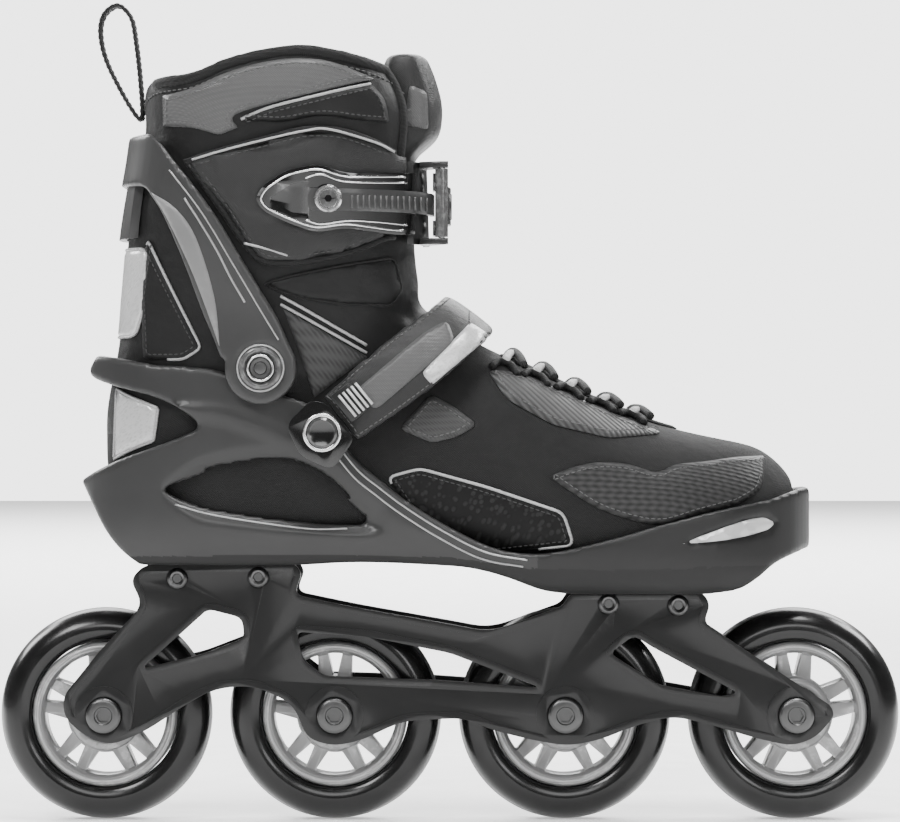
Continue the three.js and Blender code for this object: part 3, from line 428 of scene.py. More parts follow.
def softened(piece: Obj, voxel: float, rounds: int = 6) -> Obj:
    """Remeshes a piece evenly and smooths it, so that its cut edges come out moulded."""
    modify(piece, "REMESH", mode="VOXEL", voxel_size=voxel * MM)
    modify(piece, "SMOOTH", factor=0.5, iterations=rounds)
    return smoothed(piece)


def tube(name: str, line: np.ndarray, radius: float, sides: int = 8) -> Obj:
    """A round tube along a line of points in millimetres."""
    points = np.asarray(line, float)
    tangents = np.gradient(points, axis=0)
    tangents /= np.linalg.norm(tangents, axis=1)[:, None]
    normal = np.cross(tangents[0], [0.0, 0.0, 1.0])
    if np.linalg.norm(normal) < 1e-3:
        normal = np.cross(tangents[0], [0.0, 1.0, 0.0])
    normal /= np.linalg.norm(normal)
    angles = np.linspace(0, 2 * math.pi, sides, endpoint=False)
    rings = []
    for point, tangent in zip(points, tangents):
        normal = normal - tangent * np.dot(normal, tangent)
        normal /= np.linalg.norm(normal)
        other = np.cross(tangent, normal)
        rings.append([point + radius * (math.cos(a) * normal + math.sin(a) * other) for a in angles])
    return loft(name, rings)


# ---- Shader maths ----


def operator(operation: str, reflected: bool = False) -> Callable[[Any, Any], Any]:
    """A method that does one Math operation on a signal, number first where it is reflected."""

    def method(signal: Any, other: Any) -> Any:
        """The two combined."""
        return signal._math(operation, *((other, signal) if reflected else (signal, other)))

    return method


class Sig:
    """A shader socket with arithmetic: numbers and other signals combine through Math nodes."""

    def __init__(self, graph: "Graph", socket: Any) -> None:
        """Keeps the graph that new nodes go into and the socket that carries the value."""
        self.graph, self.socket = graph, socket

    def _math(self, operation: str, *values: Any) -> "Sig":
        """One Math node on this signal's graph."""
        return self.graph.node("ShaderNodeMath", {"operation": operation}, dict(enumerate(values)))

    __add__, __radd__ = operator("ADD"), operator("ADD", True)
    __sub__, __rsub__ = operator("SUBTRACT"), operator("SUBTRACT", True)
    __mul__, __rmul__ = operator("MULTIPLY"), operator("MULTIPLY", True)

    def call(self, operation: str, *others: Any) -> "Sig":
        """Any other Math operation with this signal first."""
        return self._math(operation, self, *others)

    def sine(self) -> "Sig":
        """The sine."""
        return self._math("SINE", self)

    def step(self, low: float, high: float) -> "Sig":
        """A smooth step from 0 at the low value to 1 at the high one."""
        return self.graph.node(
            "ShaderNodeMapRange",
            {"interpolation_type": "SMOOTHSTEP"},
            {"Value": self, "From Min": low, "From Max": high, "To Min": 0.0, "To Max": 1.0},
        )


class Graph:
    """The node tree of one material."""

    def __init__(self, name: str) -> None:
        """Starts a material with only its output."""
        self.material = bpy.data.materials.new(name)
        self.material.use_nodes = True
        self.tree = self.material.node_tree
        self.tree.nodes.clear()

    def node(self, kind: str, settings: dict[str, Any], values: dict[Any, Any], output: Any = 0) -> Sig:
        """One node: its settings first, then the values or links of its sockets.

        Args:
            kind: the node's type.
            settings: attributes of the node, such as a Math node's operation.
            values: numbers, colours or signals by socket name or index.
            output: the name or index of the socket to return.

        Returns:
            The output as a signal.
        """
        made = self.tree.nodes.new(kind)
        for key, value in settings.items():
            setattr(made, key, value)
        for key, value in values.items():
            socket = made.inputs[key]
            if isinstance(value, Sig):
                self.tree.links.new(value.socket, socket)
            elif isinstance(value, tuple) and len(value) == 3 and socket.type == "RGBA":
                socket.default_value = (*value, 1)
            else:
                socket.default_value = value
        return Sig(self, made.outputs[output])

    def place(self) -> Sig:
        """The point on the piece, in millimetres, in the skate's own frame."""
        raw = self.node("ShaderNodeTexCoord", {}, {}, "Object")
        return self.node("ShaderNodeVectorMath", {"operation": "SCALE"}, {0: raw, "Scale": 1 / MM})

    def axes(self, vector: Sig) -> tuple[Sig, Sig, Sig]:
        """The three parts of a vector."""
        split = self.node("ShaderNodeSeparateXYZ", {}, {0: vector})
        outputs = split.socket.node.outputs
        return tuple(Sig(self, outputs[i]) for i in range(3))

    def join(self, x: Any, y: Any, z: Any) -> Sig:
        """A vector from three parts."""
        return self.node("ShaderNodeCombineXYZ", {}, {0: x, 1: y, 2: z})

    def noise(self, vector: Sig, scale: float, detail: float = 3, rough: float = 0.55) -> Sig:
        """Noise between 0 and 1, its scale in features per millimetre."""
        return self.node(
            "ShaderNodeTexNoise", {}, {"Vector": vector, "Scale": scale, "Detail": detail, "Roughness": rough}
        )

    def cells(self, vector: Sig, scale: float) -> Sig:
        """Voronoi distance, its scale in cells per millimetre."""
        return self.node("ShaderNodeTexVoronoi", {"feature": "F1"}, {"Vector": vector, "Scale": scale}, "Distance")

    def mix(self, factor: Any, first: Any, second: Any) -> Sig:
        """A colour between two."""
        return self.node("ShaderNodeMix", {"data_type": "RGBA"}, {0: factor, 6: first, 7: second}, 2)

    def bump(self, height: Sig, strength: float, distance: float = 0.0002, normal: Sig | None = None) -> Sig:
        """A normal bent by a height."""
        values = {"Height": height, "Strength": strength, "Distance": distance}
        return self.node("ShaderNodeBump", {}, {**values, "Normal": normal} if normal else values)

    def surface(self, values: dict[str, Any]) -> bpy.types.Material:
        """Ends the tree in one Principled shader."""
        shader = self.node("ShaderNodeBsdfPrincipled", {}, values)
        output = self.tree.nodes.new("ShaderNodeOutputMaterial")
        self.tree.links.new(shader.socket, output.inputs["Surface"])
        return self.material


Colour = tuple[float, float, float]


def grey(level: float) -> Colour:
    """A neutral colour."""
    return (level, level, level)


@dataclass(frozen=True)
class Moulded:
    """Moulded plastic with a fine spark grain, faint mottling and worn, paler edges."""

    name: str
    base: float
    worn: float
    rough: float = 0.42
    grain: float = 0.25
    grain_size: float = 0.5
    coat: float = 0.0
    metallic: float = 0.0
    specular: float = 0.22
    glow: float = 0.0

    def build(self) -> bpy.types.Material:
        """The finish as a material."""
        g = Graph(self.name)
        place = g.place()
        mottle = g.noise(place, 0.05, 4)
        fine = g.noise(place, 1 / self.grain_size, 2, 0.7)
        edge = g.node("ShaderNodeNewGeometry", {}, {}, "Pointiness").step(0.53, 0.62)
        scuff = g.noise(place, 0.35, 5, 0.7).step(0.45, 0.7)
        tone = g.mix(mottle.step(0.25, 0.75) * 0.5, grey(self.base), grey(1.25 * self.base))
        colour = g.mix(edge * (0.35 + 0.45 * scuff), tone, grey(self.worn))
        rough = self.rough + 0.10 * (mottle - 0.5) + 0.12 * (fine - 0.5)
        return g.surface({
            "Base Color": colour,
            "Roughness": rough,
            "Metallic": self.metallic,
            "Coat Weight": self.coat,
            "Coat Roughness": 0.12,
            "Specular IOR Level": self.specular,
            "Emission Color": grey(self.base),
            "Emission Strength": self.glow,
            "Normal": g.bump(fine, self.grain, 0.00008),
        })


@dataclass(frozen=True)
class Metal:
    """Machined metal with turning marks round the Y axis and light scratches."""

    name: str
    base: float
    rough: float = 0.25

    def build(self) -> bpy.types.Material:
        """The finish as a material."""
        g = Graph(self.name)
        place = g.place()
        x, y, z = g.axes(place)
        streaks = g.noise(g.join(x * 0.2, y * 6.0, z * 0.2), 1.5, 4, 0.7)
        scratch = g.noise(g.join(x * 4.0, y, z * 0.4), 1.2, 3, 0.8).step(0.6, 0.75)
        return g.surface({
            "Base Color": g.mix(streaks, grey(0.75 * self.base), grey(self.base)),
            "Roughness": self.rough + 0.15 * streaks + 0.12 * scratch,
            "Metallic": 1.0,
            "Normal": g.bump(streaks, 0.04, 0.0001),
        })


class Weave(Enum):
    """How a cloth's surface is made up."""

    PLAIN, HEX, TWILL, SCALES, RIBS, SUEDE = range(6)


@dataclass(frozen=True)
class Cloth:
    """Cloth or synthetic leather: its weave lies on the side faces, in X and Z, or on top faces, in X and Y."""

    name: str
    base: float
    thread: float
    weave: Weave
    pitch: float = 1.0
    rough: float = 0.8
    sheen: float = 0.25
    bump: float = 0.6
    crease: float = 0.4
    metallic: float = 0.0

    def pattern(self, g: Graph, place: Sig) -> Sig:
        """The height of the weave, from 0 to 1."""
        x, y, z = g.axes(place)
        u, v = x + y * 0.35, z + y * 0.9
        turn = 2 * math.pi / self.pitch
        if self.weave is Weave.PLAIN:
            return ((u * turn).sine() * (v * turn).sine()) * 0.5 + 0.5
        if self.weave is Weave.HEX:
            flat = g.join(u, 0.0, v)
            return g.cells(flat, 1 / self.pitch).step(0.25, 0.5)
        if self.weave is Weave.TWILL:
            return ((u * turn + v * turn).sine() * 0.5 + 0.5) * (0.6 + 0.4 * (v * turn * 0.5).sine())
        if self.weave is Weave.SCALES:
            row = (v * turn).sine() * 0.5 + 0.5
            return row * 0.6 + 0.4 * ((u * turn * 0.6 + (v * turn * 0.5).sine() * 1.2).sine() * 0.5 + 0.5)
        if self.weave is Weave.RIBS:
            return (u * turn * 0.9 + v * turn * 0.5).sine() * 0.5 + 0.5
        return g.noise(place, 3.0, 4, 0.7)

    def build(self) -> bpy.types.Material:
        """The finish as a material."""
        g = Graph(self.name)
        place = g.place()
        height = self.pattern(g, place)
        slow = g.noise(place, 0.03, 3)
        fuzz = g.noise(place, 2.5, 3, 0.7)
        wrinkle = g.noise(place, 0.09, 4, 0.5)
        tone = g.mix(height, grey(self.base), grey(self.thread))
        colour = g.mix(0.35 * slow + 0.15 * fuzz, tone, grey(1.6 * self.thread))
        soft = g.bump(wrinkle, self.crease, 0.002)
        return g.surface({
            "Base Color": colour,
            "Roughness": self.rough - 0.12 * (slow - 0.5) - 0.1 * height,
            "Metallic": self.metallic,
            "Sheen Weight": 0.25 * self.sheen,
            "Sheen Roughness": 0.4,
            "Specular IOR Level": 0.16,
            "Normal": g.bump(height + 0.35 * fuzz, self.bump, 0.0003, soft),
        })


@dataclass(frozen=True)
class Urethane:
    """Cast wheel rubber: glossy, a little dusty, with fine rings from wear on the tread."""

    name: str
    base: float

    def build(self) -> bpy.types.Material:
        """The finish as a material."""
        g = Graph(self.name)
        place = g.place()
        _, y, _ = g.axes(place)
        dust = g.noise(place, 0.12, 5, 0.65)
        tread = 1 - y.call("ABSOLUTE").step(2.0, 7.0)
        rings = (y * 9.0).sine() * 0.5 + 0.5
        colour = g.mix(dust.step(0.4, 0.8) * 0.25 + tread * 0.18, grey(self.base), grey(0.02))
        return g.surface({
            "Base Color": colour,
            "Roughness": 0.20 + 0.10 * dust + 0.22 * tread,
            "Specular IOR Level": 0.3,
            "Coat Weight": 0.12,
            "Coat Roughness": 0.08,
            "Normal": g.bump(rings * tread + dust * 0.3, 0.10, 0.0002),
        })


# ---- Finishes of this skate ----


class Finish(Enum):
    """Every finish on the skate."""

    TYRE = Urethane("tyre_rubber", 0.004)
    HUB = Moulded("hub_nylon", 0.16, 0.4, 0.34, 0.12, 0.35, 0.3, 0.3)
    STEEL = Metal("bright_steel", 0.5, 0.22)
    SHIELD = Metal("dark_steel", 0.10, 0.28)
    FRAME = Moulded("frame_nylon", 0.008, 0.04, 0.34, 0.2, 0.4, 0.2)
    SHELL = Moulded("shell_polymer", 0.022, 0.075, 0.4, 0.35, 0.55, 0.1)
    SOLE = Moulded("sole_polymer", 0.009, 0.04, 0.5, 0.3, 0.5)
    BUMPER = Moulded("bumper_polymer", 0.012, 0.05, 0.4, 0.35, 0.5)
    CUFF = Moulded("cuff_polymer", 0.026, 0.09, 0.38, 0.3, 0.5, 0.15)
    GLOSS = Moulded("gloss_trim", 0.004, 0.15, 0.12, 0.03, 0.4, 0.8)
    # Chrome plating on the screws and rings; the same finish paints highlight lines along the buckle bezel.
    CHROME_AND_HIGHLIGHT = Metal("plated_trim_and_highlight", 0.7, 0.14)
    # A silver finish: the bright rings of the hub lips, and painted highlight lines on the shell, the cuff and the wrap
    # flaps.
    SILVER_AND_HIGHLIGHT = Moulded("silver_trim_and_highlight", 0.22, 0.4, 0.32, 0.1, 0.4, 0.3, 0.55)
    INSERT = Moulded("toe_insert", 0.36, 0.5, 0.34, 0.15, 0.5, 0.2, 0.2)
    REFLECTOR = Cloth("reflective_panel", 0.30, 0.40, Weave.HEX, 1.1, 0.38, 0.1, 0.15, 0.2, 0.3)
    VAMP = Cloth("vamp_weave", 0.0035, 0.010, Weave.PLAIN, 0.9, 0.78, 0.12, 0.5, 0.55)
    LEATHER = Cloth("upper_leather", 0.004, 0.008, Weave.SUEDE, 1.0, 0.5, 0.08, 0.35, 0.5)
    MESH = Cloth("quarter_mesh", 0.016, 0.0025, Weave.HEX, 2.3, 0.7, 0.1, 0.8, 0.25)
    HEXES = Cloth("light_mesh", 0.05, 0.02, Weave.TWILL, 2.4, 0.6, 0.1, 0.7, 0.2)
    # A paler strip laid on the cuff's rear edge: a painted highlight of its bevel.
    BEVEL = Moulded("bevel_painted_highlight", 0.12, 0.2, 0.36, 0.2, 0.5, 0.1)
    PATCH = Cloth("side_patch", 0.038, 0.009, Weave.SCALES, 2.4, 0.5, 0.1, 0.8, 0.25)
    QUILT = Cloth("grey_patch", 0.045, 0.022, Weave.TWILL, 1.4, 0.5, 0.12, 0.5, 0.3)
    RIBBED = Cloth("ribbed_panel", 0.005, 0.05, Weave.RIBS, 2.6, 0.45, 0.1, 0.9, 0.15)
    PAD = Cloth("pad_cloth", 0.010, 0.020, Weave.PLAIN, 0.8, 0.42, 0.15, 0.3, 0.5)
    COLLAR = Cloth("collar_coated", 0.045, 0.07, Weave.TWILL, 1.0, 0.28, 0.1, 0.3, 0.35)
    LINING = Cloth("lining_fleece", 0.006, 0.012, Weave.SUEDE, 1.0, 0.9, 0.3, 0.5, 0.5)
    BINDING = Cloth("binding_tape", 0.003, 0.010, Weave.TWILL, 0.8, 0.65, 0.15, 0.5, 0.2)
    WEBBING = Cloth("loop_webbing", 0.004, 0.012, Weave.TWILL, 1.3, 0.7, 0.15, 0.8, 0.2)
    LACE = Cloth("lace_braid", 0.25, 0.45, Weave.TWILL, 1.1, 0.7, 0.2, 0.7, 0.2)
    DARK_LACE = Cloth("dark_braid", 0.005, 0.025, Weave.TWILL, 1.1, 0.7, 0.2, 0.7, 0.2)
    # Silver piping on the panels; the same finish paints the highlight ring round each cuff pivot.
    PIPING_AND_HIGHLIGHT = Cloth("silver_piping_and_highlight", 0.18, 0.32, Weave.TWILL, 0.7, 0.4, 0.1, 0.3, 0.1, 0.35)
    THREAD = Cloth("seam_thread", 0.04, 0.09, Weave.TWILL, 0.5, 0.6, 0.2, 0.3, 0.1)
    DARK_THREAD = Cloth("dark_thread", 0.02, 0.05, Weave.TWILL, 0.5, 0.6, 0.2, 0.3, 0.1)
    FLOOR = Moulded("floor_paint", 0.84, 0.86, 0.6, 0.02, 3.0, specular=0.1, glow=0.6)


MATERIALS: dict[Finish, bpy.types.Material] = {}


def material(finish: Finish) -> bpy.types.Material:
    """The material of a finish, built once."""
    if finish not in MATERIALS:
        MATERIALS[finish] = finish.value.build()
    return MATERIALS[finish]


def dress(piece: Obj, finish: Finish) -> Obj:
    """Gives a whole piece one finish."""
    piece.data.materials.clear()
    piece.data.materials.append(material(finish))
    return piece


def place(
    piece: Obj,
    body: str,
    slot: str,
    finish: Finish | None = None,
    replaces: Sequence[str] = (),
    blend_to: str | None = None,
    padded: float | None = None,
) -> Obj:
    """Settles a finished piece: its finish, its body and the CAD nodes it stands for.

    Args:
        piece: the object, its mesh in place.
        body: the CAD body it moves with.
        slot: the record's material slot; not used.
        finish: what to dress it in, or None where its faces are dressed already.
        replaces: CAD nodes that it stands for.
        blend_to: a second body, for cloth at the ankle; where given, the piece's transform is baked in and it is
            attached to no body.
        padded: how full a padded piece is; not used.
    """
    if finish:
        dress(piece, finish)
    if blend_to:
        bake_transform(piece)
    else:
        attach(piece, body)
    if replaces:
        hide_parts(*replaces)
    LOG.info("%s: %d faces on %s", piece.name, len(piece.data.polygons), body)
    return piece


# ---- Repeats along a line, by Geometry Nodes ----


def repeat_tree() -> bpy.types.NodeTree:
    """A tree that sets short beads along the input's lines: a spacing, a bead's length, radius and material."""
    tree = bpy.data.node_groups.new("beads_along_line", "GeometryNodeTree")
    face = tree.interface
    face.new_socket("Geometry", in_out="INPUT", socket_type="NodeSocketGeometry")
    for name, value in (("Spacing", 0.003), ("Length", 0.002), ("Radius", 0.0004)):
        face.new_socket(name, in_out="INPUT", socket_type="NodeSocketFloat").default_value = value
    face.new_socket("Finish", in_out="INPUT", socket_type="NodeSocketMaterial")
    face.new_socket("Geometry", in_out="OUTPUT", socket_type="NodeSocketGeometry")

    def add(kind: str, **settings: Any) -> bpy.types.Node:
        """One node with its settings."""
        made = tree.nodes.new(kind)
        for key, value in settings.items():
            setattr(made, key, value)
        return made

    made = {
        "source": add("NodeGroupInput"), "result": add("NodeGroupOutput"), "curve": add("GeometryNodeMeshToCurve"),
        "points": add("GeometryNodeCurveToPoints", mode="LENGTH"), "bead": add("GeometryNodeMeshUVSphere"),
        "stretch": add("ShaderNodeCombineXYZ"), "shape": add("GeometryNodeTransform"),
        "spread": add("GeometryNodeInstanceOnPoints"), "real": add("GeometryNodeRealizeInstances"),
        "smooth": add("GeometryNodeSetShadeSmooth"), "paint": add("GeometryNodeSetMaterial"),
    }
    for socket, count in (("Segments", 6), ("Rings", 4)):
        made["bead"].inputs[socket].default_value = count
    for origin, output, target, socket in (
        ("source", "Geometry", "curve", "Mesh"), ("curve", "Curve", "points", "Curve"),
        ("source", "Spacing", "points", "Length"), ("source", "Radius", "stretch", "X"),
        ("source", "Radius", "stretch", "Y"), ("source", "Length", "stretch", "Z"),
        ("bead", "Mesh", "shape", "Geometry"), ("stretch", "Vector", "shape", "Scale"),
        ("points", "Points", "spread", "Points"), ("points", "Rotation", "spread", "Rotation"),
        ("shape", "Geometry", "spread", "Instance"), ("spread", "Instances", "real", "Geometry"),
        ("real", "Geometry", "smooth", "Geometry"), ("smooth", "Geometry", "paint", "Geometry"),
        ("source", "Finish", "paint", "Material"), ("paint", "Geometry", "result", "Geometry"),
    ):
        tree.links.new(made[origin].outputs[output], made[target].inputs[socket])
    return tree


BEADS = repeat_tree()


def beads(
    name: str, lines: Sequence[np.ndarray], finish: Finish, spacing: float, length: float, radius: float
) -> Obj:
    """Stitches, studs or teeth set evenly along lines of points in millimetres."""
    verts, edges = [], []
    for line in lines:
        start = len(verts)
        verts += (np.asarray(line) * MM).tolist()
        edges += [(start + i, start + i + 1) for i in range(len(line) - 1)]
    mesh = bpy.data.meshes.new(name)
    mesh.from_pydata(verts, edges, [])
    piece = add_object(name, mesh)
    modifier = piece.modifiers.new("beads", "NODES")
    modifier.node_group = BEADS
    sockets = {item.name: item.identifier for item in BEADS.interface.items_tree if item.in_out == "INPUT"}
    for key, value in (("Spacing", spacing), ("Length", length / 2), ("Radius", radius)):
        modifier[sockets[key]] = value * MM
    modifier[sockets["Finish"]] = material(finish)
    return bake(piece)


# ---- The boot's forms ----


LEG = (  # height, back, front, half width
    (40, -134, -30, ANKLE_HALF - 1.5),
    (52, -137, -22, ANKLE_HALF - 1),
    (66, -137, -18, ANKLE_HALF - 0.7),
    (78, -135.5, -16, ANKLE_HALF - 0.3),
    (88, -133.5, -14, ANKLE_HALF),
    (101, -131.5, -12, ANKLE_HALF + 0.5),
    (118, -130, -12, ANKLE_HALF + 2.5),
    (140, -128, -14, COLLAR_HALF - 3.5),
    (171, -123, -14, COLLAR_HALF - 1),
    (184, -121, -13, COLLAR_HALF - 0.3),
    (199, -119.5, -18, COLLAR_HALF),
    (218, -118, -23, COLLAR_HALF),
)
FOOT = (  # distance along, half width, bottom, top
    (-124, 8, 36, 80),
    (-120, 20, 26, 88),
    (-110, 30, 18, 94),
    (-90, ANKLE_HALF, 16, 98),
    (-60, ANKLE_HALF, 16, 104),
    (-34, ANKLE_HALF, 17, 110),
    (-12, ANKLE_HALF + 1, 16.5, 111),
    (0, ANKLE_HALF + 2.5, 15.5, 104),
    (25, BALL_HALF - 3.5, 11, 92),
    (50, BALL_HALF, 6, 80.5),
    (80, BALL_HALF - 0.5, 5, 67.5),
    (105, BALL_HALF - 5.5, 6.5, 61),
    (122, BALL_HALF - 13.5, 12, 57),
    (132, BALL_HALF - 24.5, 19, 50),
    (136.5, BALL_HALF - 35.5, 25, 44),
)
SHELL = (  # the same for the moulded shell
    (-146, 9, 6, 102),
    (-140, 20, 6, 102),
    (-130, ANKLE_HALF - 7, 6, 102),
    (-115, ANKLE_HALF - 0.5, 6, 102),
    (-95, ANKLE_SHELL + 0.4, 6, 106),
    (-50, ANKLE_SHELL + 0.4, 6, 108),
    (-20, ANKLE_SHELL + 1.2, 6, 106),
    (10, BALL_SHELL - 6, 2, 100),
    (40, BALL_SHELL - 1, -3, 92),
    (70, BALL_SHELL + 0.4, -3, 80),
    (100, BALL_SHELL - 3, -3, 70),
    (120, BALL_SHELL - 11, -3, 64),
    (134, BALL_SHELL - 23, -1, 58),
    (140, BALL_SHELL - 34, 4, 54),
    (142.5, BALL_SHELL - 42, 12, 46),
)
CUFF = (  # height, back, front, half width of the room inside the cuff
    (60, -134, -18, CUFF_INSIDE),
    (104, -134, -12, CUFF_INSIDE),
    (140, -130, -6, COLLAR_HALF - 0.8),
    (171, -124.5, -4, COLLAR_HALF + 1.6),
    (190, -122, -4, COLLAR_HALF + 2.2),
)
STRAP_ROOM = (  # distance along, half width, bottom and top of the room under the instep strap
    (-80, STRAP_INSIDE, 10, 118),
    (-30, STRAP_INSIDE, 10, 118),
    (-10, STRAP_INSIDE + 0.8, 10, 116),
    (0, STRAP_INSIDE + 1.6, 10, 113),
    (10, STRAP_INSIDE + 2.6, 10, 106.5),
    (24, STRAP_INSIDE + 4, 10, 95),
)
FOOT_POWERS = (3.6, 2.3)
LEG_POWER = 2.6
LINER = 6.5


def superellipse(count: int, power: float) -> np.ndarray:
    """Points of a unit superellipse, closer together where it bends most."""
    angles = np.linspace(0, 2 * math.pi, count, endpoint=False)
    c, s = np.cos(angles), np.sin(angles)
    return np.column_stack([np.sign(c) * np.abs(c) ** (2 / power), np.sign(s) * np.abs(s) ** (2 / power)])


def upright_form(name: str, table: Sequence[Sequence[float]], extra: float, levels: int = 60) -> Obj:
    """A form whose sections lie level, such as the leg."""
    unit = superellipse(72, LEG_POWER)
    rings = []
    for z, back, front, half in smooth_rows(table, np.linspace(table[0][0], table[-1][0], levels)):
        middle, reach = (back + front) / 2, (front - back) / 2 + extra
        ring = [[middle + reach * u, (half + extra) * v, z + SOLE_Z] for u, v in unit]
        rings.append(ring)
    return loft(name, rings)


def lying_form(
    name: str, table: Sequence[Sequence[float]], extra: float, powers: Point, levels: int = 90, count: int = 72
) -> Obj:
    """A form whose sections stand across the boot, such as the foot."""
    low, high = superellipse(count, powers[0]), superellipse(count, powers[1])
    first, last = table[0][0], table[-1][0]
    share = (1 - np.cos(np.linspace(0, math.pi, levels))) / 2
    at = first + (last - first) * (0.35 * share + 0.65 * np.linspace(0, 1, levels))
    rings = []
    for x, half, bottom, top in smooth_rows(table, at):
        x += extra * (2 * (x - first) / (last - first) - 1) if abs(2 * (x - first) / (last - first) - 1) > 0.9 else 0
        widest = bottom + 0.38 * (top - bottom)
        ring = []
        for i in range(count):
            upper = i < count / 2
            u, v = (high if upper else low)[i]
            height = top + extra - widest if upper else widest - bottom + extra
            ring.append([x, max(half + extra, 0.5) * u, widest + max(height, 0.5) * v + SOLE_Z])
        rings.append(ring)
    return loft(name, rings)


def leg_form(extra: float) -> Obj:
    """The padded leg, grown by an extra thickness."""
    return upright_form("leg_form", LEG, extra)


def foot_form(extra: float) -> Obj:
    """The padded foot, grown by an extra thickness."""
    return lying_form("foot_form", FOOT, extra, FOOT_POWERS)


def slab(outline: Iterable[Point], radius: float = 0.0, low: float = -90.0, high: float = 90.0) -> Obj:
    """A cutter over an outline whose heights are measured from the sole."""
    points = np.array(list(outline), float)
    return prism("cutter", rounded(points, radius) if radius else points, low, high, SOLE_Z)


def rel(points: Iterable[Point]) -> np.ndarray:
    """Points measured from the sole, moved to heights above the ground."""
    return np.array(list(points), float) + np.array([0, SOLE_Z])


# ---- Panels and trim laid on a form ----


def search_tree(surface: Obj) -> BVHTree:
    """A tree of a mesh's faces, for rays and nearest points."""
    work = bmesh.new()
    work.from_mesh(surface.data)
    tree = BVHTree.FromBMesh(work)
    work.free()
    return tree


class Skin:
    """A surface that panels, piping and stitches are laid on, met along one axis from one side."""

    def __init__(self, surface: Obj, side: int = OUTER, axis: int = 1) -> None:
        """Keeps a search tree of the surface."""
        self.tree = search_tree(surface)
        self.side, self.axis = side, axis

    def on(self, point: Sequence[float], lift: float = 0.0) -> np.ndarray | None:
        """The place on the surface over a flat point, lifted along the surface's normal, in millimetres."""
        start, way = Vector((0, 0, 0)), Vector((0, 0, 0))
        start[self.axis], way[self.axis] = 400 * self.side, -self.side
        for axis, value in zip([axis for axis in range(3) if axis != self.axis], point):
            start[axis] = float(value)
        start *= MM
        hit, normal, _, _ = self.tree.ray_cast(start, way)
        if hit is None:
            return None
        if normal.dot(way) > 0:
            normal.negate()
        return np.array(hit) / MM + lift * np.array(normal)

    def line(self, points: np.ndarray, lift: float = 0.0, spacing: float = 1.2) -> np.ndarray:
        """A flat line laid on the surface."""
        found = [self.on(p, lift) for p in resample(np.asarray(points, float), spacing)]
        return np.array([p for p in found if p is not None])

    def cord(
        self, points: Iterable[Point], radius: float, finish: Finish, lift: float, spacing: float = 1.5, sides: int = 6
    ) -> Obj:
        """A thin dressed cord laid on the surface over points measured from the sole."""
        return dress(tube("cord", self.line(rel(points), lift, spacing), radius, sides), finish)

    def panel(self, name: str, outline: np.ndarray, lift: float, thickness: float, spacing: float = 2.0) -> Obj:
        """A thin closed panel over an outline.

        Args:
            name: the new object's name.
            outline: its closed edge, flat, in millimetres.
            lift: how far its underside stands off the surface.
            thickness: its own thickness, thinner at the edge.
            spacing: the size of its faces.
        """
        edge = resample(np.asarray(outline, float), spacing, closed=True)
        low, high = edge.min(0), edge.max(0)
        count = len(edge)
        inner = []
        tighter = inset(edge, 0.55 * spacing)
        for x in np.arange(low[0], high[0], spacing):
            for z in np.arange(low[1], high[1], spacing):
                if inside((x, z), tighter):
                    inner.append((x, z))
        flat = [Vector(p) for p in edge.tolist() + inner]
        verts, _, faces, _, _, _ = delaunay_2d_cdt(flat, [], [list(range(count))], 1, 1e-4)
        edge_set = {(round(x, 3), round(z, 3)) for x, z in edge.tolist()}
        places, keep = [], {}
        for i, v in enumerate(verts):
            border = (round(v.x, 3), round(v.y, 3)) in edge_set
            found = self.on(v, lift)
            if found is not None:
                keep[i] = len(places)
                outwards = self.on(v, lift + (0.35 if border else 1.0) * thickness)
                places.append((found, outwards))
        n = len(places)
        points = [p[1] for p in places] + [p[0] for p in places]
        solid: list[list[int]] = []
        borders: dict[tuple[int, int], int] = {}
        for face in faces:
            if all(i in keep for i in face):
                ids = [keep[i] for i in face]
                solid += [ids, [i + n for i in reversed(ids)]]
                for a, b in zip(ids, ids[1:] + ids[:1]):
                    borders[(a, b)] = 1
        for a, b in list(borders):
            if (b, a) not in borders:
                solid.append([b, a, a + n, b + n])
        return make_object(name, points, solid)


def inside(point: Point, outline: np.ndarray) -> bool:
    """Whether a flat point lies in a closed outline."""
    x, z = point
    a, b = outline, np.roll(outline, -1, axis=0)
    crossing = (a[:, 1] > z) != (b[:, 1] > z)
    with np.errstate(divide="ignore", invalid="ignore"):
        at = a[:, 0] + (z - a[:, 1]) * (b[:, 0] - a[:, 0]) / (b[:, 1] - a[:, 1])
    return bool(np.count_nonzero(crossing & (x < at)) % 2)


# ---- Sub-assemblies ----


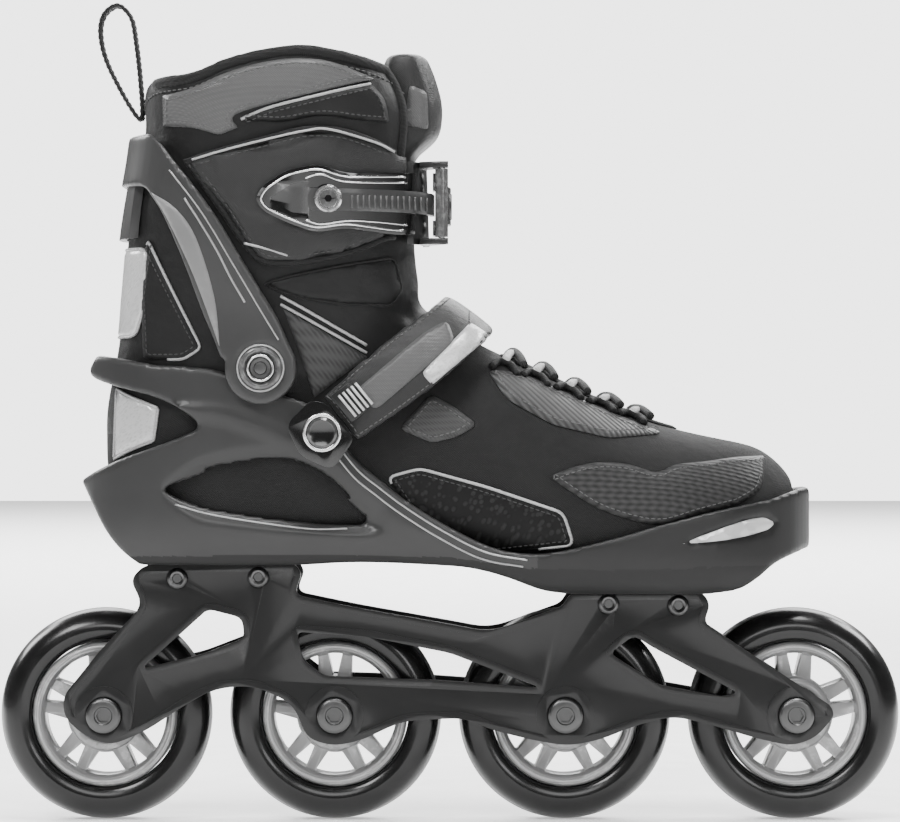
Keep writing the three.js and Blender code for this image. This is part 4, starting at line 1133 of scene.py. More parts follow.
@dataclass
class Wheels:
    """Four wheels: a tyre, a spoked hub and a lip for each, round the CAD's bearings and axles."""

    width: float = 24.0
    rim: float = 28.6
    hub_width: float = 20.0
    boss: float = 14.0
    pairs: int = 5

    def tyre(self, number: int, centre: np.ndarray) -> Obj:
        """One tyre, rounded at the tread, with a step where it grips the hub."""
        half, r = self.width / 2, WHEEL_R
        side = [(self.rim + 0.35, 8.6), (self.rim + 0.6, 9.9), (self.rim + 1.6, 10.7), (r - 9, half), (r - 6.2, 11.4)]
        crown = [(r - 3.2, 9.3), (r - 1.3, 6.4), (r - 0.35, 3.2), (r, 0)]
        half_profile = side[:3] + through(side[3:] + crown, steps=4).tolist()
        mirrored = [(a, -b) for a, b in reversed(half_profile[:-1])]
        loop = [*half_profile, *mirrored, half_profile[0]]
        return revolve(f"tyre_detail_{number}", loop, centre, 128)

    def hub(self, number: int, centre: np.ndarray) -> Obj:
        """One hub: a rim, a boss and five pairs of spokes."""
        h = self.hub_width / 2
        inner, rim = self.boss + 0.6, self.rim - 4
        profile = [(9.2, 5.2), (11.1, 5.2), (11.1, h), (12.6, h), (self.boss, h - 0.8), (inner, h - 2.6)]
        profile += [(rim - 1, h - 2.2), (rim, h - 0.7), (rim + 0.8, h), (self.rim - 0.9, h), (self.rim, h - 1.2)]
        loop = [*profile, *[(a, -b) for a, b in reversed(profile)], profile[0]]
        piece = revolve(f"hub_detail_{number}", loop, centre, 96)
        slot_half = 1.5 / rim + 0.06
        spoke_half = slot_half + 2 * 3.2 / (rim + inner)
        pair_angle = 2 * math.pi / self.pairs
        for pair in range(self.pairs):
            middle = math.pi / 2 + pair * pair_angle
            for start, end in (
                (middle - slot_half, middle + slot_half),
                (middle + spoke_half, middle + pair_angle - spoke_half),
            ):
                spread = (end - start) * 0.5
                outer = arc((centre[0], centre[2]), rim - 0.4, math.degrees(start), math.degrees(end), 12)
                narrow = min(spread * 0.75, 0.02 + spread * 0.4)
                boss = arc(
                    (centre[0], centre[2]), inner + 0.6, math.degrees(end - narrow), math.degrees(start + narrow), 8
                )
                cut(piece, prism("cutter", rounded(np.vstack([outer, boss]), 1.4, 3), -h - 2, h + 2))
        return bevelled(piece, 0.5)

    def build(self) -> None:
        """Makes each wheel's tyre, hub and lip."""
        for number, centre in enumerate(AXLES, 1):
            body = f"wheel_{number}"
            place(self.tyre(number, centre), body, "tyre", Finish.TYRE, [f"tyre_{number}"])
            place(self.hub(number, centre), body, "hub", Finish.HUB, [f"hub_{number}"])
            place(self.lip(number, centre), body, "hub", Finish.SILVER_AND_HIGHLIGHT)

    def lip(self, number: int, centre: np.ndarray) -> Obj:
        """The bright ring on each side, between a hub and its tyre."""
        h = self.hub_width / 2
        rings = []
        for side in (OUTER, INNER):
            loop = [(self.rim - 2.6, h - 0.2), (self.rim - 2.3, h + 0.25), (self.rim - 1.5, h + 0.25)]
            rings.append(revolve("lip", [*loop, (self.rim - 1.2, h - 0.2), loop[0]], centre, 96, side))
        return join(f"hub_lip_{number}", rings)


@dataclass
class PlateFrame:
    """The two side plates and their rivets."""

    window_round: float = 3.0
    edge: float = 0.9

    def outline(self) -> np.ndarray:
        """The plates' outline, in X and Z above the ground."""
        a, b, c, d = (float(axle[0]) for axle in AXLES)
        z, s = WHEEL_R, SOLE_Z
        points = [(-120.5, s + 10.8), (-126, s + 5), (-121, s - 5)]
        points += [(a - 2, z + 25), (a - 16, z + 7.5), (a - 15.5, z - 0.5), (a - 9, z - 7), (a + 2, z - 12)]
        points += [(a + 16, z - 6.5), (a + 29.5, z + 2.5), (a + 43, z + 10.5), (b - 32, z + 12), (b - 16, z + 4.5)]
        points += [(b - 11, z - 9), (b - 0.5, z - 12), (b + 10, z - 10), (b + 27, z - 2), (c - 40, z - 1)]
        points += [(c - 29.5, z - 5.5), (c - 14, z - 9.5), (c + 1, z - 12), (c + 14, z - 9.5), (c + 26, z - 4.5)]
        points += [(c + 42, z), (d - 30.5, z - 4.5), (d - 16, z - 9), (d - 1.5, z - 12), (d + 8, z - 8.5)]
        points += [(d + 15, z), (d + 13.5, z + 4), (d - 15, z + 22.5), (100, s - 12), (102.5, s - 5), (100, s - 0.3)]
        points += [(47.5, s - 0.3), (44.5, s - 5.5), (16, s - 15.6), (0, s - 12.6), (-37, s - 6.1), (-61.5, s - 1)]
        points += [(-58.5, s + 7), (-60.5, s + 10.8)]
        return rounded(points, 7, 5)

    def windows(self) -> list[np.ndarray]:
        """The outlines of the openings in a plate."""
        a, b, c, d = (float(axle[0]) for axle in AXLES)
        z, s = WHEEL_R, SOLE_Z
        rear = [(a + 41, s - 6.6), (a + 15, z + 18.5), (a + 38.5, z + 24), (a + 55.5, z + 30.5), (a + 54.5, z + 38.5)]
        middle = [(b - 15, s - 15.6), (b + 13, s - 17.6), (0, s - 24), (c - 10, z + 11), (-5.5, z + 14)]
        middle += [(b - 4, z + 15.5), (b - 12.5, z + 22)]
        front = [(c + 17.5, s - 24), (c + 27, s - 17), (c + 34, s - 21.5), (d - 23, z + 9), (d - 29, z + 7.5)]
        front += [(d - 54, z + 12)]
        return [rounded(outline, self.window_round, 5) for outline in (rear, middle, front)]

    def plate(self, side: int) -> Obj:
        """One plate, its border standing a little above the field inside it."""
        near, far = PLATE_OUTER_Y - PLATE_THICKNESS, PLATE_OUTER_Y
        outline, windows = self.outline(), self.windows()
        piece = prism(f"plate_{'outer' if side < 0 else 'inner'}", outline, *span(side, near, far))
        recess = prism("cutter", inset(outline, 2.6), *span(side, far - 0.7, far + 1))
        for window in windows:
            cut(recess, prism("cutter", inset(window, -2.6), -40, 40))
        for axle in AXLES:
            drill(recess, axle, 11.5, 40)
        cut(piece, recess)
        for window in windows:
            cut(piece, prism("cutter", window, -40, 40))
        for centre in AXLES:
            boss = prism("boss", circle((centre[0], centre[2]), 6.3, 32), *span(side, 12.6, near + 1))
            cut(piece, boss, operation="UNION")
            drill(piece, centre, 4.3)
            drill(piece, centre, 7.3, 40, *span(side, far - 0.5, far + 2))
        for number in range(1, 5):
            drill(piece, box_mm(f"frame_rivet_{number}").mean(0), 2.9)
        return bevelled(piece, self.edge, 3, 40)

    def build(self) -> None:
        """Makes the plates and their rivets."""
        for side, name in SIDES:
            place(self.plate(side), "chassis", "frame_plastic", Finish.FRAME, [f"frame_plate_{name}"])
        for number in range(1, 5):
            centre = box_mm(f"frame_rivet_{number}").mean(0) * (1, 0, 1)
            loops, y = [], PLATE_OUTER_Y
            for side in (OUTER, INNER):
                profile = [(0.0, y + 0.5), (1.7, y + 0.5), (2.0, y + 1.2), (2.8, y + 1.5), (3.7, y + 1.0), (4.1, y + 0.3)]
                profile += [(2.5, y + 0.3), (2.5, 0.0)] if side < 0 else [(2.5, y + 0.3), (2.5, 0.05)]
                profile.append((0.0, profile[-1][1]))
                loops.append(revolve("rivet", profile, centre, 40, side))
            rivet = join(f"rivet_detail_{number}", loops)
            place(shaded(rivet), "chassis", "axle_steel", Finish.SHIELD, [f"frame_rivet_{number}"])


@dataclass
class AxleBolts:
    """The wheel bolts, with a domed head and a hex socket."""

    head: float = 6.9
    height: float = 2.6

    def bolt(self, number: int, centre: np.ndarray) -> Obj:
        """One bolt, its socket open towards the outer side."""
        seat = PLATE_OUTER_Y + 0.3
        tip = seat + self.height
        profile = [(0, tip - 2.1), (3.3, tip - 2.1), (3.3, tip - 0.4), (3.7, tip), (5.4, tip), (6.3, tip - 0.3)]
        profile += [(self.head, tip - 1.0), (self.head, seat), (4.0, seat), (4.0, -PLATE_OUTER_Y - 0.5)]
        profile += [(0, -PLATE_OUTER_Y - 0.5)]
        piece = revolve(f"axle_detail_{number}", profile, centre, 64, OUTER)
        plug = prism("hex", circle((centre[0], centre[2]), 3.5, 48), -tip + 0.5, -tip + 2.2)
        drill(plug, centre, 2.9, 6)
        return shaded(join(f"axle_detail_{number}", [piece, plug]))

    def build(self) -> None:
        """Makes all four."""
        for number, centre in enumerate(AXLES, 1):
            piece = self.bolt(number, centre)
            place(piece, "chassis", "axle_steel", Finish.SHIELD, [f"axle_{number}"])


@dataclass
class LowerShell:
    """The moulded shell: sole, heel cup, tail, eye-shaped opening, sweeping front edge and toe bumper."""

    wall: float = SHELL_WALL
    voxel: float = 1.15

    def outline(self) -> np.ndarray:
        """The shell's edge as seen from the side."""
        top = [(-139, 93.5), (-129, 92), (-114, 89.5), (-91, 87.5), (-73, 80), (-54, 73.5), (-45, 63), (-36, 52)]
        top += [(-27.5, 45), (-17.5, 37), (-2.5, 27.5), (16, 18.5), (30, 16), (42.5, 17), (63, 22), (80.5, 27)]
        top += [(100.5, 32), (117.5, 35.5), (125, 37), (136.5, 40.5), (150, 43)]
        front = [(150, 43), (150, 20), (140, 17), (128, 12.5), (119.5, 6), (112, 1.8), (100.5, 0)]
        sole = [(100.5, 0), (74, 0), (47.5, 0)]
        arch = [(47.5, 0), (36, 1.6), (22.5, 6.5), (10, 9.8), (-2.5, 11.1), (-34.5, 12.3), (-60.5, 11.1)]
        seat = [(-60.5, 11.1), (-90, 11.1), (-121.5, 11.1)]
        tail = [(-121.5, 11.1), (-129, 17), (-135.5, 25), (-141, 35), (-146, 44)]
        notch = [(-146, 44), (-138, 48.5), (-128, 53), (-114, 58), (-104, 61.8), (-98, 65.5), (-104, 71.5)]
        notch += [(-116, 77), (-132.5, 81.5), (-142, 86), (-139, 93.5)]
        return strokes(top, front, sole, arch, seat, tail, notch, steps=5)

    def window(self) -> np.ndarray:
        """The eye-shaped opening."""
        upper = [(-113.5, 41), (-103, 44.5), (-93, 47.5), (-77, 50.3), (-64.5, 51), (-54, 47.5), (-46, 42), (-30, 27)]
        lower = [(-30, 27), (-46, 27.2), (-64.5, 29), (-80, 31.3), (-95.5, 34), (-106, 37.3), (-113.5, 41)]
        return strokes(upper, lower, steps=5)

    def bowl(self, side: int) -> Obj:
        """The soft hollow around the opening, as a cutter that narrows inwards."""
        rings = []
        face = ANKLE_HALF + self.wall + 0.6
        window = resample(self.window(), 3.0, closed=True)
        for depth, grow in ((-1.0, 9.0), (0.4, 6.5), (1.3, 4.0), (2.4, 2.2), (3.2, 1.5)):
            ring = inset(window, -grow)
            rings.append([[x, side * (face - depth), z + SOLE_Z] for x, z in ring])
        return loft("bowl", rings)

    def moulding(self) -> Obj:
        """The shell's whole form, with its hollow, ridges and grooves."""
        shell = lying_form("lower_shell_detail", SHELL, 0, (4, 6), 110, 96)
        for side in (OUTER, INNER):
            cut(shell, self.ridge(side), operation="UNION")
        outline = prism("outline", self.outline(), -90, 90, SOLE_Z)
        tab = prism("tab", circle((PIVOT[0], PIVOT[2] - SOLE_Z), 12, 48), -90, 90, SOLE_Z)
        cut(outline, tab, operation="UNION")
        cut(shell, outline, operation="INTERSECT")
        cut(shell, foot_form(0.6), leg_form(0.9))
        cut(shell, slab(self.window(), 0, -90, -20), slab(self.window(), 0, 20, 90))
        cut(shell, self.bowl(OUTER), self.bowl(INNER))
        return shell

    def ridge(self, side: int) -> Obj:
        """The broad ridge from the heel lip down to the front of the opening."""
        face = ANKLE_HALF + self.wall + 0.3
        path = through([(-112, 70), (-96, 71.5), (-80, 68), (-60, 59), (-42, 45), (-26, 32), (-10, 24)], steps=5)
        rings = []
        for i, (x, z) in enumerate(path):
            share = i / (len(path) - 1)
            width = 5.2 * math.sin(math.pi * (0.12 + 0.8 * share)) + 0.8
            grow = np.interp(x, [-20, 10], [0, 1.8])
            ring = [
                (x + 0.35 * width * math.cos(a), side * (face + grow - 1.2 + 2.0 * max(0.0, math.sin(a))),
                 z + SOLE_Z + width * math.cos(a))
                for a in np.linspace(0, 2 * math.pi, 20, endpoint=False)
            ]
            ring = [(px, py if abs(py) > face - 1.0 else side * (face - 2.0), pz) for px, py, pz in ring]
            rings.append(ring)
        return loft("ridge", rings)

    def insert_outline(self) -> np.ndarray:
        """The pale insert in the toe bumper."""
        upper = [(88, 19.5), (97, 23.3), (107.5, 27), (116, 29.6), (123, 30.6), (128.5, 28)]
        return rounded(upper + [(125.5, 24.8), (116, 22.3), (107.5, 20.8), (97, 19.8)], 1.5, 3)

    def build(self) -> None:
        """Makes the shell and dresses it by height: the sole is darker below its parting line."""
        shell = self.moulding()
        for side in (OUTER, INNER):
            room = prism("room", self.insert_outline(), *span(side, 10, 90), SOLE_Z)
            cut(room, lying_form("keep", SHELL, -2.0, (4, 6)))
            cut(shell, room)
        for node, seat in (("frame_bolt_1", 12.1), ("frame_bolt_2", 0.9)):
            centre = box_mm(node).mean(0)
            rings = [[[centre[0] + 6.9 * math.cos(a), centre[1] + 6.9 * math.sin(a), z] for a in
                      np.linspace(0, 2 * math.pi, 32, endpoint=False)] for z in (SOLE_Z + seat - 0.3, SOLE_Z + seat + 20)]
            cut(shell, loft("pocket", rings))
        softened(shell, self.voxel, 5)
        paint_sole(shell)
        place(shell, "chassis", "shell_plastic", None, ["lower_shell"])
        whole = lying_form("whole", SHELL, 0.35, (4, 6), 110, 96)
        for side, name in SIDES:
            skin = Skin(whole, side)
            piece = skin.panel(f"insert_{name}", rel(inset(self.insert_outline(), 0.5)), -1.7, 1.9, 1.6)
            place(shaded(piece), "chassis", "reflector", Finish.INSERT, [f"toe_insert_{name}"])
        discard(whole)
        self.trim(shell)

    def trim(self, shell: Obj) -> None:
        """Painted highlights: silver lines along the sweeping front edge and along the opening's lower edge."""
        edge = through([(-46, 61), (-36, 48.5), (-27.5, 41.5), (-17.5, 34), (-2.5, 24.6), (14, 16.5), (30, 13.6)], steps=5)
        for side, name in SIDES:
            skin = Skin(shell, side)
            lower = through([(-40, 25.6), (-52, 25.4), (-64.5, 26.6), (-80, 28.8), (-95.5, 31.6), (-107, 35)], steps=5)
            lines = [skin.line(rel(edge), 0.05, 1.5), skin.line(rel(edge + np.array([-1.6, -2.6])), 0.05, 1.5)]
            lines.append(skin.line(rel(lower), 0.0, 1.5))
            highlight_strips = [tube("line", line, 0.42, 6) for line in lines if len(line) > 4]
            if highlight_strips:
                place(join(f"shell_highlight_{name}", highlight_strips), "chassis", "shell_plastic", Finish.SILVER_AND_HIGHLIGHT)


def paint_sole(shell: Obj) -> None:
    """Dresses the shell: darker below its parting line, and the toe bumper in its own finish."""
    for finish in (Finish.SHELL, Finish.SOLE, Finish.BUMPER):
        shell.data.materials.append(material(finish))
    parting = np.array([(-150, 14), (-60, 15.5), (-2.5, 14.5), (30, 10.5), (60, 9.6), (110, 11), (150, 13)])
    faces = shell.data.polygons
    centres = np.zeros(len(faces) * 3)
    faces.foreach_get("center", centres)
    x, _, z = (centres.reshape(-1, 3) / MM).T
    z = z - SOLE_Z
    sole = z < np.interp(x, parting[:, 0], parting[:, 1])
    bumper = (z > np.interp(x, parting[:, 0], parting[:, 1])) & (x > 34)
    faces.foreach_set("material_index", np.where(sole, 1, np.where(bumper, 2, 0)).astype(int).tolist())


@dataclass
class PaddedBoot:
    """The soft upper: foot, leg and collar in one, and the skins that its panels, piping and seams are laid on."""

    voxel: float = 2.0
    upper: Obj | None = None
    outside: Obj | None = None
    skins: dict[int, Skin] = field(default_factory=dict)

    def rim(self) -> list[Point]:
        """The collar's rim, from back to front."""
        return [
            (-122.5, 183.5), (-121, 196), (-116, 201.5), (-100, 203.5), (-87, 208.5), (-72.5, 212.3),
            (-58.5, 213.8), (-45.5, 212.5), (-28.5, 208.5), (-19.5, 203.5), (-12.5, 194), (-9.5, 180), (-10, 168),
        ]

    def form(self) -> Obj:
        """The upper's whole outside, filled in."""
        leg, foot = leg_form(0), foot_form(0)
        cut(foot, leg, operation="UNION")
        above = through(self.rim(), steps=6).tolist() + [(60, 168), (60, 260), (-160, 260), (-160, 183.5)]
        cut(foot, slab(above))
        return softened(foot, self.voxel, 14)

    def build(self) -> None:
        """Makes the upper, swells it a little, keeps skins of it for the panels, hollows it and dresses it."""
        self.outside = self.form()
        self.swell(self.outside)
        for side in (OUTER, INNER):
            self.skins[side] = Skin(self.outside, side)
        self.upper = copy_of(self.outside, "boot_upper")
        hollow = leg_form(-LINER)
        top = upright_form("top", [(150, -121, -25, 36), (190, -114.5, -24, 37), (240, -112, -31, 37.5)], 0)
        cut(hollow, foot_form(-LINER), top, operation="UNION")
        cut(self.upper, hollow)
        slot = [(-31, 156), (30, 156), (30, 240), (-31, 240)]
        cut(self.upper, slab(slot, 0, -23.5, 23.5))
        softened(self.upper, 1.9, 6)
        self.paint()
        place(
            self.upper, "chassis", "boot_textile", None, ["soft_boot", "ankle_shaft"], blend_to="cuff", padded=0.8
        )

    def swell(self, piece: Obj) -> None:
        """Lets padding press the cloth out between seams, with soft folds where the ankle bends."""
        p = read_points(piece) / MM
        normals = np.array([v.normal for v in piece.data.vertices])
        x, z = p[:, 0], p[:, 2] - SOLE_Z
        fold = np.exp(-(((x + 12) / 22) ** 2)) * np.exp(-(((z - 104) / 16) ** 2))
        wave = 0.8 * fold * np.sin((x * 0.55 + z * 0.9) * 0.62)
        collar = 1.6 * np.exp(-(((z - 196) / 9) ** 2)) * (z > 170)
        soft = 0.35 * np.sin(x * 0.11 + 1.7) * np.sin(z * 0.13 + 0.6) * np.clip((z - 20) / 30, 0, 1)
        p += normals * (wave + collar + soft - 0.3)[:, None]
        piece.data.vertices.foreach_set("co", (p * MM).ravel())
        piece.data.update()

    def paint(self) -> None:
        """Dresses the upper: vamp cloth below, leather at the leg, lining inside."""
        mesh = self.upper.data
        for finish in (Finish.VAMP, Finish.LEATHER, Finish.LINING):
            mesh.materials.append(material(finish))
        tree = search_tree(self.outside)
        indices = []
        for face in mesh.polygons:
            centre = face.center
            _, _, _, gap = tree.find_nearest(centre)
            x, z = centre.x / MM, centre.z / MM - SOLE_Z
            leg = z > 96 + 0.3 * (x + 20)
            indices.append(2 if gap / MM > 3.0 else (1 if leg else 0))
        mesh.polygons.foreach_set("material_index", indices)


@dataclass
class PanelSpec:
    """One panel laid on the upper: its edge, finish, thickness, piping and stitches."""

    name: str
    outline: np.ndarray
    finish: Finish
    thickness: float = 0.9
    lift: float = 0.1
    piped: tuple[int, int] | None = None
    piping: Finish = Finish.PIPING_AND_HIGHLIGHT
    stitched: bool = True
    body: str = "chassis"
    thread: Finish = Finish.DARK_THREAD


@dataclass
class UpperPanels:
    """The overlays of the upper: patches, mesh, reflective panels, bindings and their seams."""

    boot: PaddedBoot

    def specs(self) -> list[PanelSpec]:
        """Every panel, heights measured from the sole."""
        side = strokes(
            [(38.5, 46), (48, 49.6), (58, 51.4), (69, 50.6), (80, 47.6), (88, 50.3), (100, 51.5), (112, 53), (124, 53.5)],
            [(124, 53.5), (121, 41), (112, 35)],
            [(112, 35), (97, 31.5), (80, 27.5), (60, 32.5), (47, 40), (38.5, 46)], steps=5)
        mesh_low = rounded([(-24.4, 45.5), (-11.8, 49), (14, 41.9), (43.9, 31.9), (48, 19.4), (10, 15.4), (-12, 27.4)], 3)
        grey_patch = rounded([(-7.6, 77.8), (1, 73.4), (10.7, 66.1), (3, 61.4), (-7, 58.9), (-19.8, 64.4)], 2.5)
        quarter = strokes([(-65, 111.5), (-56, 106.5), (-44, 99.5), (-32, 92.5)], [(-32, 92.5), (-41, 86), (-53, 76.5)],
                          [(-53, 76.5), (-58, 92), (-65, 111.5)], steps=4)
        ankle = rounded([(-73, 121), (-60, 124.5), (-43, 128), (-22, 131.5), (-19, 118), (-24, 112.5), (-45, 113.5),
                         (-58, 115.5), (-66, 118)], 2.5)
        collar = strokes(
            [(-112, 194.5), (-100, 197), (-87, 202.5), (-72.5, 206.6), (-58.5, 208.2), (-45.5, 206.8), (-29.5, 200.8)],
            [(-29.5, 200.8), (-50, 195.6), (-70, 190.6), (-82, 187), (-84.5, 184.5), (-82, 181.5)],
            [(-82, 181.5), (-89.5, 178.5)], [(-89.5, 178.5), (-100, 181.5), (-112, 182.5)], [(-112, 182.5), (-112, 194.5)],
            steps=4)
        dark = strokes([(-81, 184.6), (-70, 189.2), (-50, 194.2), (-31, 198.8)], [(-31, 198.8), (-26, 193), (-24, 184)],
                       [(-24, 184), (-36, 184.5), (-50, 186), (-66, 183.5), (-81, 184.6)], steps=4)
        spear = rounded([(-118, 138.5), (-112, 126), (-104, 110), (-97, 96), (-104, 91.5), (-120, 91.5), (-121, 116)], 2)
        heel = strokes([(-131, 80), (-124, 76.6), (-114, 72.5)], [(-114, 72.5), (-115.7, 59.7)],
                       [(-115.7, 59.7), (-124, 56.5), (-132, 52.5)], [(-132, 52.5), (-131, 80)], steps=4)
        ribbed = rounded([(14.4, 87.5), (28, 86), (46, 78), (66, 69.5), (84, 62.4), (62, 60.8), (40, 66), (22, 76)], 3)
        return [
            PanelSpec("side_patch", side, Finish.PATCH, 1.1, thread=Finish.THREAD),
            PanelSpec("forefoot_mesh", mesh_low, Finish.MESH, 0.8, piped=(0, 60)),
            PanelSpec("grey_patch", grey_patch, Finish.QUILT, 1.0, thread=Finish.THREAD),
            PanelSpec("quarter_mesh", quarter, Finish.HEXES, 0.9, stitched=False),
            PanelSpec("ankle_pad", ankle, Finish.LEATHER, 1.2, stitched=False, piped=(0, 100), piping=Finish.BINDING),
            PanelSpec("collar_panel", collar, Finish.COLLAR, 1.1, body="cuff", thread=Finish.THREAD),
            PanelSpec("collar_gusset", dark, Finish.LEATHER, 1.3, piped=(0, 42), body="cuff"),
            PanelSpec("spear_panel", spear, Finish.LEATHER, 1.2, piped=(0, 55), body="cuff"),
            PanelSpec("heel_reflector", heel, Finish.REFLECTOR, 0.9, piped=(0, 100), stitched=False),
            PanelSpec("ribbed_panel", ribbed, Finish.RIBBED, 1.1, thread=Finish.THREAD),
        ]

    def build(self) -> None:
        """Lays each panel on both sides."""
        for side, name in SIDES:
            skin = self.boot.skins[side]
            for spec in self.specs():
                self.lay(spec, skin, name)
            self.rim_binding(skin, name)
            lines = []
            for shift in (0.0, 3.2):
                path = through([(x, z + shift) for x, z in ((-66, 113), (-56, 107.5), (-44, 100.5), (-33, 94))], steps=6)
                lines.append(skin.cord(path, 0.6, Finish.PIPING_AND_HIGHLIGHT, 1.1, 1.2, 8))
            place(join(f"quarter_piping_{name}", lines), "chassis", "boot_textile", blend_to="cuff")
        behind = Skin(self.boot.outside, -1, 0)
        edge = rounded([(-27, 135), (-28, 118), (-23, 100.5), (23, 100.5), (28, 118), (27, 135)], 3)
        panel = dress(behind.panel("panel", rel(edge), 0.1, 0.9, 1.7), Finish.REFLECTOR)
        piping = behind.cord(np.vstack([edge, edge[:1]]), 0.62, Finish.PIPING_AND_HIGHLIGHT, 0.4, 1.2, 8)
        place(join("rear_reflector", [panel, piping]), "chassis", "reflector", blend_to="cuff")

    def lay(self, spec: PanelSpec, skin: Skin, name: str) -> None:
        """One panel with its piping and stitches."""
        outline = rel(spec.outline)
        pieces = [dress(skin.panel("panel", outline, spec.lift, spec.thickness, 1.7), spec.finish)]
        closed = resample(outline, 1.2, closed=True)
        if spec.piped:
            start, end = (int(share / 100 * len(closed)) for share in spec.piped)
            path = closed[start:end] if end - start < len(closed) else np.vstack([closed, closed[:1]])
            line = skin.line(path, spec.lift + 0.35 * spec.thickness)
            if len(line) > 5:
                pieces.append(dress(tube("piping", line, 0.62, 8), spec.piping))
        if spec.stitched:
            path = inset(closed, 2.0)
            seam = skin.line(np.vstack([path, path[:1]]), spec.lift + spec.thickness + 0.02)
            if len(seam) > 5:
                pieces.append(beads("stitches", [seam], spec.thread, 2.3, 1.7, 0.26))
        piece = join(f"{spec.name}_{name}", pieces)
        if spec.name in ("quarter_mesh", "spear_panel", "ankle_pad"):
            place(piece, "chassis", "boot_textile", None, blend_to="cuff")
        else:
            place(piece, spec.body, "reflector" if "reflector" in spec.name else "boot_textile", None)

    def rim_binding(self, skin: Skin, name: str) -> None:
        """The tape round the collar's rim, with its row of stitches."""
        rim = through(self.boot.rim(), steps=8)
        line = skin.line(rel(rim - np.array([0, 2.2])), -0.8, 1.5)
        line = line[np.abs(line[:, 1]) > 24]
        front = Skin(self.boot.outside, 1, 0)
        side = float(np.sign(line[0][1]))
        down = front.line(rel([(side * 24.3, 202), (side * 24.3, 185), (side * 24.3, 168)]), -0.8, 1.5)
        line = np.vstack([line, down[1:]])
        tape = dress(tube("tape", line, 2.4, 12), Finish.BINDING)
        seam = skin.line(rel(rim - np.array([0, 6.2])), 0.25, 1.5)
        pieces = [tape, beads("stitches", [seam], Finish.THREAD, 2.6, 1.9, 0.28)]
        place(join(f"collar_binding_{name}", pieces), "cuff", "boot_textile")


